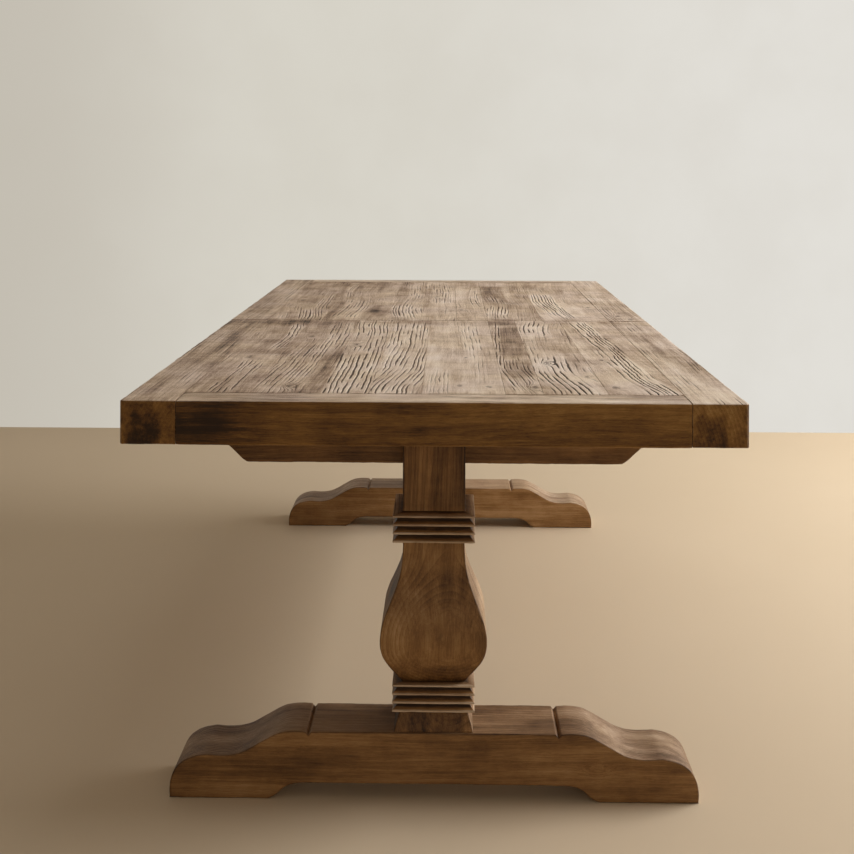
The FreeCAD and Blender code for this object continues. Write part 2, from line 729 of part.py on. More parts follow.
def runner_way(side, way):
    """The near half's runners lie outside the bars, the far half's inside them."""
    return way if side < 0 else -way


def runner_edges(side, way):
    """The face next to the bar and the outer face of a runner, as places in X."""
    out = runner_way(side, way)
    face = f"({way} * slide_offset + {out} * (slide_bar_width / 2 + running_clearance))"
    back = f"({way} * slide_offset + {out} * (slide_bar_width / 2 + running_clearance + runner_width))"
    return face, back


def board_screw_row(side, place):
    return f"{side} * ({place} - screw_stagger)"


def runner_screw_row(side, place):
    return f"{side} * ({place} + screw_stagger)"


def runner_screw_centres(side):
    centres = []
    for way in (-1, 1):
        face, back = runner_edges(side, way)
        for place in cleat_places().values():
            centres.append((f"({face} + {back}) / 2", runner_screw_row(side, place)))
    return centres


def cut_pin_bore(body, side, across):
    """A close bore for the fixed end of a seam pin, or an easy one for the end that slides in."""
    if side < 0:
        depth = (f"(-{SEAM_EDGE} - pin_length + pin_reach - fitting_clearance)",
                 f"(-{SEAM_EDGE} + overrun)")
        radius = "pin_radius + bore_clearance"
    else:
        depth = (f"({SEAM_EDGE} - overrun)", f"({SEAM_EDGE} + pin_reach + overrun)")
        radius = "pin_radius + running_clearance"
    cut_level_bores(body, [(across, PIN_LEVEL)], radius, depth)


def make_side_rail(half, side, hand, way):
    outer = f"{way} * {HALF_WIDTH}"
    inner = f"{way} * ({HALF_WIDTH} - side_rail_width)"
    body = block(f"{half}_{hand}_rail", (inner, outer), along(side, SEAM_EDGE, HALF_LENGTH),
                 (TOP_UNDERSIDE, "table_height"))
    end = f"{side} * {HALF_LENGTH}"

    def outer_edge(edge):
        runs_along_side = lies_at(edge, x=outer) and not near(edge.BoundBox.YMin, f"{side} * {SEAM_EDGE}")
        at_seam = lies_at(edge, y=f"{side} * {SEAM_EDGE}")
        at_end = lies_at(edge, y=end) and not lies_at(edge, x=inner)
        return (runs_along_side or at_end) and not at_seam

    rounded = round_edges(body, body.Tip, outer_edge, "rail_round")
    bevel_edges(body, rounded, lambda edge: lies_at(edge, y=f"{side} * {SEAM_EDGE}", z="table_height"),
                "board_bevel")
    wall = "(cleat_housing + fitting_clearance)"
    for place in cleat_places().values():
        half_cleat = "(cleat_width / 2 + fitting_clearance)"
        cut_box(body, (f"{inner} - {way} * overrun", f"{inner} + {way} * {wall}"),
                along(side, f"{place} - {half_cleat}", f"{place} + {half_cleat}"),
                (f"({CLEAT_BOTTOM} - fitting_clearance)", f"({BOARD_UNDERSIDE} + fitting_clearance)"))
    mortise_half = "(rail_tenon_thickness / 2 + fitting_clearance)"
    rail_middle = f"({HALF_LENGTH} - end_rail_width / 2)"
    tall = "(rail_tenon_height / 2 + fitting_clearance)"
    middle = f"({TOP_UNDERSIDE} + frame_depth / 2)"
    mortise_depth = "(rail_tenon_length + fitting_clearance)"
    cut_box(body, (f"{inner} - {way} * overrun", f"{inner} + {way} * {mortise_depth}"),
            along(side, f"{rail_middle} - {mortise_half}", f"{rail_middle} + {mortise_half}"),
            (f"({middle} - {tall})", f"({middle} + {tall})"))
    cut_pin_bore(body, side, f"{way} * {LOCK_OFFSET}")
    return body


def make_end_rail(half, side):
    half_wide = f"({PANEL_WIDTH} / 2)"
    body = block(f"{half}_end_rail", (f"-{half_wide}", half_wide), along(side, PANEL_END, HALF_LENGTH),
                 (TOP_UNDERSIDE, "table_height"))
    end = f"{side} * {HALF_LENGTH}"

    def long_outer_edge(edge):
        at_side = lies_at(edge, x=half_wide) or lies_at(edge, x=f"-{half_wide}")
        return lies_at(edge, y=end) and not at_side

    round_edges(body, body.Tip, long_outer_edge, "rail_round")
    rail_middle = f"({HALF_LENGTH} - end_rail_width / 2)"
    middle = f"({TOP_UNDERSIDE} + frame_depth / 2)"
    for way in (-1, 1):
        tenon = sketch_on(body, "XY_Plane", f"{middle} - rail_tenon_height / 2")
        root = f"{way} * ({half_wide} - overrun)"
        tip = f"{way} * ({half_wide} + rail_tenon_length)"
        add_rectangle(tenon, (root, tip),
                      along(side, f"{rail_middle} - rail_tenon_thickness / 2",
                            f"{rail_middle} + rail_tenon_thickness / 2"))
        pad(body, tenon, "rail_tenon_height")
    return body


def make_board(half, side, number, edges, screw_across):
    left, right = edges
    body = block(f"{half}_board_{number}", (left, right),
                 along(side, SEAM_EDGE, f"({PANEL_END} - board_gap)"), (BOARD_UNDERSIDE, "table_height"))
    far_end = f"{side} * ({PANEL_END} - board_gap)"

    def top_edge(edge):
        return lies_at(edge, z="table_height") and not lies_at(edge, y=far_end)

    bevel_edges(body, body.Tip, top_edge, "board_bevel")
    centres = [(screw_across, board_screw_row(side, place)) for place in cleat_places().values()]
    cut_upright_bores(body, centres, "screw_radius + bore_clearance",
                      (f"({BOARD_UNDERSIDE} - overrun)", f"({BOARD_SCREW_TIP} + fitting_clearance)"))
    if length(left) < length("board_pin_offset") < length(right):
        cut_pin_bore(body, side, "board_pin_offset")
    return body


def make_cleat(half, side, name, place, screw_columns):
    half_long = f"({PANEL_WIDTH} / 2 + cleat_housing)"
    body = block(f"{half}_{name}", (f"-{half_long}", half_long),
                 along(side, f"{place} - cleat_width / 2", f"{place} + cleat_width / 2"),
                 (CLEAT_BOTTOM, BOARD_UNDERSIDE))
    centres = [(across, board_screw_row(side, place)) for across in screw_columns]
    head_top = f"({BOARD_SCREW_HEAD} + screw_head_height + fitting_clearance)"
    cut_upright_bores(body, centres, "screw_head_radius + bore_clearance",
                      (f"({CLEAT_BOTTOM} - overrun)", head_top))
    cut_upright_bores(body, centres, "screw_radius + bore_clearance",
                      (f"({head_top} - overrun)", f"({BOARD_UNDERSIDE} + overrun)"))
    fixings = []
    for way in (-1, 1):
        face, back = runner_edges(side, way)
        fixings.append((f"({face} + {back}) / 2", runner_screw_row(side, place)))
    cut_upright_bores(body, fixings, "screw_radius + bore_clearance",
                      (f"({CLEAT_BOTTOM} - overrun)", f"({RUNNER_SCREW_TIP} + fitting_clearance)"))
    return body


def make_runner(half, side, hand, way):
    """A bar beside the fixed bar, with a tongue in its groove. The stretch past the seam is lower, so
    that it passes under the other half's cleats."""
    face, back = runner_edges(side, way)
    outer_end = f"({PANEL_END} - runner_end_setback)"
    y_range = along(side, "-runner_reach", outer_end)
    body = block(f"{half}_{hand}_runner", (face, back), y_range, (RUNNER_BOTTOM, CLEAT_BOTTOM))
    out = runner_way(side, way)
    middle = f"({TOP_UNDERSIDE} + slide_bar_height / 2)"
    tongue = sketch_on(body, "XY_Plane", f"{middle} - tongue_height / 2")
    add_rectangle(tongue, (f"{face} + {out} * overrun", f"{face} - {out} * tongue_depth"), y_range)
    pad(body, tongue, "tongue_height")
    cut_box(body, (f"{face} - {out} * overrun", f"{back} + {out} * overrun"),
            along(side, "-(runner_reach + overrun)", "0"),
            (f"({CLEAT_BOTTOM} - runner_relief)", f"({CLEAT_BOTTOM} + overrun)"))
    centres = [(f"({face} + {back}) / 2", runner_screw_row(side, place))
               for place in cleat_places().values()]
    head_top = f"({RUNNER_SCREW_HEAD} + screw_head_height + fitting_clearance)"
    cut_upright_bores(body, centres, "screw_head_radius + bore_clearance",
                      (f"({RUNNER_BOTTOM} - overrun)", head_top))
    cut_upright_bores(body, centres, "screw_radius + bore_clearance",
                      (f"({head_top} - overrun)", f"({CLEAT_BOTTOM} + overrun)"))
    return body


def make_half_screws(half, side, screw_columns):
    body = new_body(f"{half}_screws")
    into_boards = [(across, board_screw_row(side, place)) for across in screw_columns
                   for place in cleat_places().values()]
    into_cleats = runner_screw_centres(side)
    for centres, head, tip in ((into_boards, BOARD_SCREW_HEAD, BOARD_SCREW_TIP),
                               (into_cleats, RUNNER_SCREW_HEAD, RUNNER_SCREW_TIP)):
        add_upright_rods(body, centres, "screw_head_radius", (head, f"({head} + screw_head_height)"))
        add_upright_rods(body, centres, "screw_radius", (f"({head} + screw_head_height)", tip))
    return body


def make_seam_pins():
    body = new_body("seam_pins")
    centres = [(f"-{LOCK_OFFSET}", PIN_LEVEL), ("board_pin_offset", PIN_LEVEL), (LOCK_OFFSET, PIN_LEVEL)]
    add_level_rods(body, centres, "pin_radius",
                   (f"(-{SEAM_EDGE} - pin_length + pin_reach)", f"(-{SEAM_EDGE} + pin_reach)"))
    return body


# Locks under the side rails

def make_lock_plates(label, across_seam):
    """Plates with a headed stud each: the pivots on the near half, the keepers on the far half."""
    body = new_body(label)
    plates = sketch_on(body, "XY_Plane", PLATE_BOTTOM)
    for way in (-1, 1):
        add_rectangle(plates, (f"{way} * {LOCK_OFFSET} - lock_plate_width / 2",
                               f"{way} * {LOCK_OFFSET} + lock_plate_width / 2"),
                      (f"{across_seam} - lock_plate_length / 2", f"{across_seam} + lock_plate_length / 2"))
    pad(body, plates, "lock_plate_thickness")
    centres = [(f"{way} * {LOCK_OFFSET}", across_seam) for way in (-1, 1)]
    add_upright_rods(body, centres, "lock_stud_radius", (STUD_HEAD_TOP, f"({PLATE_BOTTOM} + overrun / 2)"))
    add_upright_rods(body, centres, "lock_head_radius", (STUD_HEAD_BOTTOM, STUD_HEAD_TOP))
    return body


def make_lever(hand, way):
    """A flat lever that points to the middle of the table at rest. It swings a quarter turn towards the
    far half, where the notch in its leading edge takes the keeper's stud."""
    body = new_body(f"{hand}_lock_lever")
    inward = -way
    half_wide = "(lever_width / 2)"
    notch_half = "(lock_stud_radius + running_clearance)"
    tip = f"(lock_reach + {notch_half} + {LEVER_NOSE_SHARE} * lever_width)"
    plate = sketch_on(body, "XY_Plane", LEVER_BOTTOM)
    add_rectangle(plate, ("0", f"{inward} * {tip}"), (f"-{half_wide}", half_wide))
    pad(body, plate, "lever_thickness")
    boss = sketch_on(body, "XY_Plane", LEVER_BOTTOM)
    add_circles(boss, [("0", "0")], half_wide)
    pad(body, boss, "lever_thickness")
    cut_upright_bores(body, [("0", "0")], "lock_stud_radius + running_clearance",
                      (f"({LEVER_BOTTOM} - overrun)", f"({LEVER_TOP} + overrun)"))
    cut_upright_bores(body, [(f"{inward} * lock_reach", "0")], notch_half,
                      (f"({LEVER_BOTTOM} - overrun)", f"({LEVER_TOP} + overrun)"))
    cut_box(body, (f"{inward} * (lock_reach - {notch_half})", f"{inward} * (lock_reach + {notch_half})"),
            ("0", f"({half_wide} + overrun)"), (f"({LEVER_BOTTOM} - overrun)", f"({LEVER_TOP} + overrun)"))
    body.setExpression(".Placement.Base.x", bound(f"{way} * {LOCK_OFFSET}"))
    body.setExpression(".Placement.Base.y", bound("-lock_pivot_setback"))
    return body


# The base

for trestle, side in (("near", -1), ("far", 1)):
    make_foot(f"{trestle}_foot", side)
    make_foot_pads(f"{trestle}_foot_pads", side)
    make_plinth(f"{trestle}_plinth", side)
    make_post(f"{trestle}_post", side)
    make_bearer(f"{trestle}_bearer", side)

lower_strip = make_collar_strip("lower_strip", PLINTH_TOP, "collar_height", "collar_slope")
upper_strip = make_collar_strip("upper_strip", f"({BULB_TOP} + fitting_clearance)",
                                "(upper_collar_height - 2 * fitting_clearance)", "upper_collar_slope")
for trestle, side in (("near", -1), ("far", 1)):
    make_collar(f"{trestle}_lower_collar", lower_strip, side)
    make_collar(f"{trestle}_upper_collar", upper_strip, side)

make_stretcher()
make_dowels()
make_foot_bolts()
make_bearer_bolts()
make_slide_bar("left_slide_bar", -1)
make_slide_bar("right_slide_bar", 1)
make_slide_screws()

# The two half tops

for half, side, shares in (("near", -1, NEAR_BOARD_WIDTH_SHARES), ("far", 1, FAR_BOARD_WIDTH_SHARES)):
    columns = [f"({left} / 2 + {right} / 2)" for left, right in board_edges(shares)]
    for hand, way in (("left", -1), ("right", 1)):
        make_side_rail(half, side, hand, way)
        make_runner(half, side, hand, way)
    make_end_rail(half, side)
    for number, (edges, column) in enumerate(zip(board_edges(shares), columns), start=1):
        make_board(half, side, number, edges, column)
    for name, place in cleat_places().items():
        make_cleat(half, side, name, place, columns)
    make_half_screws(half, side, columns)

make_seam_pins()
make_lock_plates("lock_plates", "(-lock_pivot_setback)")
make_lock_plates("lock_keepers", "(lock_reach - lock_pivot_setback)")
make_lever("left", -1)
make_lever("right", 1)

# Check every object, then write each sub-part

doc.recompute()
for item in doc.Objects:
    if "Invalid" in item.State or "Error" in item.State:
        raise RuntimeError(f"{item.Label} did not recompute: {item.State}")
for piece in subparts:
    if piece.Shape.isNull() or not piece.Shape.isValid():
        raise RuntimeError(f"{piece.Label} has no valid shape")

os.makedirs("parts", exist_ok=True)
for piece in subparts:
    piece.Shape.exportStep(f"parts/{piece.Label}.step")
    box = piece.Shape.BoundBox
    print(f"{piece.Label}: {len(piece.Shape.Solids)} solids, "
          f"x {box.XMin:.1f} to {box.XMax:.1f}, y {box.YMin:.1f} to {box.YMax:.1f}, "
          f"z {box.ZMin:.1f} to {box.ZMax:.1f}, volume {piece.Shape.Volume / 1000:.1f} cm3")
print(f"{len(subparts)} sub-parts")
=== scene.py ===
import math
from collections import namedtuple

import bpy
import numpy as np
from mathutils.kdtree import KDTree
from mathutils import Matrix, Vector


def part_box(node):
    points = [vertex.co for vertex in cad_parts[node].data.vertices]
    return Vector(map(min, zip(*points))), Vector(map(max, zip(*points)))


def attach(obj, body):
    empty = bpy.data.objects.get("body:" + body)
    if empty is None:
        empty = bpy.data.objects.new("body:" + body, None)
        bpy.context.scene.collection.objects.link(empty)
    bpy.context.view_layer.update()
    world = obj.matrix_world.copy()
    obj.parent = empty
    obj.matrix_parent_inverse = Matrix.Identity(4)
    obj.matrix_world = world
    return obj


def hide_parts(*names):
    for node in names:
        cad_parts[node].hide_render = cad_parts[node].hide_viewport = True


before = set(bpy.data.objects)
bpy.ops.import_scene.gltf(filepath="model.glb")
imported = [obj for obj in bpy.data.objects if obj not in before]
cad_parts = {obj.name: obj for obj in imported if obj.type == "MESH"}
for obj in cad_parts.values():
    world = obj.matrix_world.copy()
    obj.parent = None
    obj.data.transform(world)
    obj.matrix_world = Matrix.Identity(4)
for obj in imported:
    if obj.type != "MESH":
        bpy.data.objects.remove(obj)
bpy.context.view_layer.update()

MM = 0.001

# Places and sizes of the table, in metres: X is the width, Y the length and Z is up.
TOP = 0.762
FRAME_BOTTOM = 0.686
PANEL_HALF = 0.4375
TRESTLE = 0.839
FOOT_TOP = 0.1235
PLINTH_TOP = 0.168
BULB_BOTTOM = 0.218
BULB_TOP = 0.4752
SHAFT_BOTTOM = 0.5285
CORE_HALF = 0.055
SHAFT_HALF = 0.05775
RING_GAP = 0.0002
SEAM_HALF = 0.0006
BOARD_END = 0.9916


# Noise and curves

LATTICE_SIZE = 32
LATTICE = np.random.RandomState(7).uniform(-1, 1, (LATTICE_SIZE,) * 3)


def noise(across, up, along, seed):
    """Smooth noise from -1 to 1, with bumps about one unit wide."""
    points = np.stack(np.broadcast_arrays(across, up, along), axis=-1).astype(float)
    points = points + np.array((7.31, 3.77, 5.19)) * seed
    cell = np.floor(points).astype(int)
    part = points - cell
    part = part * part * (3 - 2 * part)
    total = 0
    for corner in np.ndindex(2, 2, 2):
        where = (cell + corner) % LATTICE_SIZE
        weight = np.prod(np.where(corner, part, 1 - part), axis=-1)
        total = total + weight * LATTICE[where[..., 0], where[..., 1], where[..., 2]]
    return total


def noise_at(points, size, seed):
    """Smooth noise at the points, with bumps of the given size."""
    return noise(*(points / size).T, seed)


def step(value, low, high):
    """Rises smoothly from 0 at low to 1 at high."""
    share = np.clip((value - low) / (high - low), 0, 1)
    return share * share * (3 - 2 * share)


def along_path(share, path):
    """A smooth way through the path's points, each given as a share and a value."""
    places, values = zip(*path)
    result = np.full_like(share, values[0], dtype=float)
    for start, end, low, high in zip(places, places[1:], values, values[1:]):
        result = result + (high - low) * step(share, start, end)
    return result


def smooth_curve(points, count=240):
    """Evenly spread places on a natural cubic spline through the points."""
    points = np.array(points, float)
    knots = np.concatenate([[0], np.cumsum(np.linalg.norm(np.diff(points, axis=0), axis=1))])
    gap = np.diff(knots)
    size = len(points)
    system = np.eye(size)
    right = np.zeros_like(points)
    for k in range(1, size - 1):
        system[k, k - 1:k + 2] = gap[k - 1], 2 * (gap[k - 1] + gap[k]), gap[k]
        right[k] = 6 * ((points[k + 1] - points[k]) / gap[k] - (points[k] - points[k - 1]) / gap[k - 1])
    second = np.linalg.solve(system, right)
    place = np.linspace(0, knots[-1], count)
    piece = np.clip(np.searchsorted(knots, place) - 1, 0, size - 2)
    span = gap[piece][:, None]
    after = (place - knots[piece])[:, None]
    before = span - after
    return ((second[piece] * before ** 3 + second[piece + 1] * after ** 3) / (6 * span)
            + (points[piece] / span - second[piece] * span / 6) * before
            + (points[piece + 1] / span - second[piece + 1] * span / 6) * after)


# Meshes

def lines(low, high, spacing, rims, extra=()):
    """Places of the mesh lines along one side: close together within the rim at each end."""
    first, last = rims
    close = np.array((0, 0.2, 0.5))
    count = 1 + max(1, round((high - low - first - last) / spacing))
    middle = np.linspace(low + first, high - last, count)
    return np.sort(np.concatenate([low + first * close, middle, high - last * close, extra]))


def block(across, along, up, plain_underside=False):
    """The outside of a box as a net of quads through the given lines. A plain underside is made of
    strips from edge to edge."""
    shell = np.ones((len(across), len(along), len(up)), bool)
    shell[1:-1, 1:-1, (0 if plain_underside else 1):-1] = False
    index = np.full(shell.shape, -1)
    index[shell] = np.arange(shell.sum())
    places = np.argwhere(shell)
    points = np.stack([across[places[:, 0]], along[places[:, 1]], up[places[:, 2]]], axis=1)

    def net(ids, flip):
        quads = np.stack([ids[:-1, :-1], ids[1:, :-1], ids[1:, 1:], ids[:-1, 1:]], axis=-1).reshape(-1, 4)
        return quads[:, ::-1] if flip else quads

    quads = [net(index[:, :, -1], False), net(index[-1], False), net(index[0], True),
             net(index[:, -1], True), net(index[:, 0], False)]
    strips = []
    under = index[:, :, 0]
    if plain_underside:
        strips.append(list(under[:, 0])[::-1] + [under[0, 1], under[-1, 1]])
        for k in range(1, len(along) - 2):
            strips.append([under[0, k + 1], under[-1, k + 1], under[-1, k], under[0, k]])
        strips.append([under[-1, -2], under[0, -2]] + list(under[:, -1]))
    else:
        quads.append(net(under, True))
    return points, np.concatenate(quads), strips


def soften(points, low, high, rims):
    """Rounds the edges of a box, and gives each point's distance to the nearest edge. The rims are
    how far the rounding reaches in from the two ends of each side."""
    low, high = np.array(low), np.array(high)
    first, last = np.array(rims).T
    inner = np.clip(points, low + first, high - last)
    away = points - inner
    reach = np.where(away < 0, first, last)
    share = away / reach
    share = share / np.maximum(np.linalg.norm(share, axis=1), 1e-9)[:, None]
    edge = np.sort(np.minimum(points - low, high - points), axis=1)[:, 1]
    return inner + share * reach, edge


def normals_of(points, quads):
    first, second, third, fourth = points[quads.T]
    face = np.cross(third - first, fourth - second)
    total = np.stack([sum(np.bincount(corner, face[:, axis], len(points)) for corner in quads.T)
                      for axis in range(3)], axis=1)
    return total / np.maximum(np.linalg.norm(total, axis=1), 1e-12)[:, None]


def add_object(name, data):
    made = bpy.data.objects.new(name, data)
    bpy.context.scene.collection.objects.link(made)
    return made


def add_worn(node, points, faces, grain, material, slot, flat_faces=0, others=()):
    """A mesh piece in place of its node and the others. Its grain, a dict of one value per point, is
    there for its material."""
    name, nodes = node + "_worn", (node, *others)
    body = "base" if slot == "base_wood" else node.split("_")[0] + "_half"
    mesh = bpy.data.meshes.new(name)
    mesh.from_pydata(points.tolist(), [], faces)
    mesh.polygons.foreach_set("use_smooth", [True] * (len(faces) - flat_faces) + [False] * flat_faces)
    mesh.set_sharp_from_angle(angle=math.radians(52))
    grain["tone"] = np.clip(grain["tone"], 0, 1)
    for key, values in grain.items():
        layer = mesh.attributes.new(key, "FLOAT", "POINT")
        layer.data.foreach_set("value", np.ascontiguousarray(values, dtype=np.float32))
    mesh.materials.append(material)
    piece = add_object(name, mesh)
    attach(piece, body)
    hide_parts(*nodes)


# Grain

VALLEY_WIDTH = 0.2


def valley(ring):
    """1 in the middle of each groove and 0 between the grooves."""
    off = np.abs(ring - np.floor(ring) - 0.5)
    return 1 - step(off, 0, VALLEY_WIDTH)


def facing(normals, axis, way=1):
    """1 where the surface faces along the axis, or against it where the way is -1."""
    return step(way * normals[:, axis], 0.5, 0.9)


def worn_edge(points, edge, reach, depth, seed):
    """Chips and rubbed places along the edges."""
    near = 1 - step(edge, 0, reach)
    rough = noise_at(points, 0.03, seed)
    fine = noise_at(points, 0.009, seed + 1)
    return near * near * depth * np.clip(0.25 + 0.8 * rough + 0.5 * fine, 0, 1)


def solid_grain(points, axis, pith, pitch, seed, knots=()):
    """Rings round a wandering pith line that runs along the axis, as a carved solid piece shows them."""
    centre = (points.min(axis=0) + points.max(axis=0)) / 2
    local = points - centre
    along = local[:, axis]
    first, second = (local[:, other] for other in range(3) if other != axis)
    first = first - pith[0] + 0.006 * noise(along / 0.35, 0, 0, seed)
    second = second - pith[1] + 0.006 * noise(along / 0.35, 9, 0, seed)

    def wander(size, length, offset):
        return noise(first / size, second / size, along / length, seed + offset)

    bend = 0.0024 * wander(0.05, 0.22, 2) + 0.0008 * wander(0.014, 0.06, 3)
    ring = (np.hypot(first, second) + bend) / pitch + 40
    knot = np.zeros(len(points))
    for place, size in knots:
        away = local - np.array(place)
        away[:, axis] /= 2.2
        near = np.exp(-np.sum(away ** 2, axis=1) / (2 * size ** 2))
        ring = ring + 3.5 * near
        ragged = 0.2 * noise_at(away, 0.004, seed + 8)
        knot = np.maximum(knot, step(near + ragged * near, 0.60, 0.95))
    tone = 0.5 + 0.20 * wander(0.035, 0.30, 4) + 0.14 * wander(0.012, 0.12, 5)
    score = 0.30 + 0.45 * wander(0.03, 0.18, 6)
    turn = np.arctan2(first, second) * np.hypot(*pith) / pitch
    return {"ring": ring, "turn": turn, "along": along + seed, "score": np.clip(score, 0, 1),
            "knot": knot, "tone": np.clip(tone, 0, 1), "wear_and_sheen": np.zeros(len(points))}


def at_seam(points, near_reach, far_reach):
    """1 at the seam, falling to 0 at the given distance on the near and on the far half."""
    away = np.abs(points[:, 1]) - SEAM_HALF
    return 1 - np.clip(away / np.where(points[:, 1] < 0, near_reach, far_reach), 0, 1)


def seam_band(points):
    """The soft dark band along the seam, 1 in its middle on the near half and fainter on the far."""
    beside = 0.4 * at_seam(points, 0.05, 0.05)
    band = 1 - step(np.abs(points[:, 1] + 0.054), 0.010, 0.072)
    band = np.where(points[:, 1] < 0, np.maximum(band, beside), beside)
    return band * (0.75 + 0.6 * noise(points[:, 0] / 0.07, 0, 0, 31))


def carve(points, normals, grain, depth, amount=1):
    """Sinks the grooves, fine fibres and slow waves of the grain into the surface."""
    ring, along = grain["ring"], grain["along"]
    sink = depth * grain["score"] * valley(ring)
    sink = sink + 0.12 * MM * (1 + noise(ring * 2.5, along / 0.03, 0, 21)) / 2
    sink = sink + 0.45 * MM * (1 + noise_at(points, 0.07, 22)) / 2
    sink = sink + 0.6 * MM * grain["knot"] * (1 + noise(ring * 1.3, along / 0.02, 0, 23)) / 2
    return points - normals * (sink * amount)[:, None]


# Materials

def colour(red, green, blue):
    """A colour written as it shows, turned into linear values."""
    def linear(value):
        value = value / 255
        return value / 12.92 if value <= 0.04045 else ((value + 0.055) / 1.055) ** 2.4
    return linear(red), linear(green), linear(blue), 1.0


def ramp(*shades):
    """A row of colours."""
    return [colour(*shade) for shade in shades]


class Graph:
    """A node tree and short ways to add its nodes."""

    def __init__(self, tree):
        self.tree = tree

    def connect(self, value, socket):
        if isinstance(value, bpy.types.NodeSocket):
            self.tree.links.new(value, socket)
        else:
            socket.default_value = value

    def node(self, kind, inputs=(), **settings):
        made = self.tree.nodes.new(kind)
        for key, value in settings.items():
            setattr(made, key, value)
        for key, value in dict(inputs).items():
            self.connect(value, made.inputs[key])
        return made

    def value(self, name):
        return self.node("ShaderNodeAttribute", attribute_name=name).outputs["Fac"]

    def math(self, operation, first, second=0.0, clamp=False):
        return self.node("ShaderNodeMath", {0: first, 1: second}, operation=operation,
                         use_clamp=clamp).outputs[0]

    def plus(self, first, second):
        return self.math("ADD", first, second)

    def minus(self, first, second):
        return self.math("SUBTRACT", first, second)

    def times(self, first, second):
        return self.math("MULTIPLY", first, second)

    def noise(self, vector, scale, detail, roughness):
        inputs = {"Vector": vector, "Scale": scale, "Detail": detail, "Roughness": roughness}
        return self.node("ShaderNodeTexNoise", inputs).outputs["Fac"]

    def stretched(self, vector, scale, shift=(0, 0, 0)):
        inputs = {"Vector": vector, "Scale": scale, "Location": shift}
        return self.node("ShaderNodeMapping", inputs).outputs[0]

    def rise(self, value, low, high, bottom=0.0, top=1.0):
        inputs = {"Value": value, "From Min": low, "From Max": high, "To Min": bottom, "To Max": top}
        return self.node("ShaderNodeMapRange", inputs, interpolation_type="SMOOTHSTEP").outputs["Result"]

    def mix(self, share, first, second):
        return self.node("ShaderNodeMix", {0: share, 6: first, 7: second}, data_type="RGBA").outputs[2]

    def tint(self, shade, share, first, second):
        """The shade, multiplied by a colour between the first and the second."""
        made = self.node("ShaderNodeMix", {0: 1.0, 6: shade}, data_type="RGBA", blend_type="MULTIPLY")
        self.connect(self.mix(share, first, second), made.inputs[7])
        return made.outputs[2]


class Finish(Graph):
    """A material's nodes."""

    def __init__(self, name):
        self.material = bpy.data.materials.new(name)
        self.material.use_nodes = True
        super().__init__(self.material.node_tree)
        self.shader = self.tree.nodes["Principled BSDF"]
        self.give("Specular IOR Level", 0.3)

    def object_place(self):
        return self.node("ShaderNodeTexCoord").outputs["Object"]

    def give(self, name, value):
        self.connect(value, self.shader.inputs[name])

    def bump(self, height, strength, distance):
        made = self.node("ShaderNodeBump", {"Height": height, "Strength": strength, "Distance": distance})
        self.give("Normal", made.outputs["Normal"])


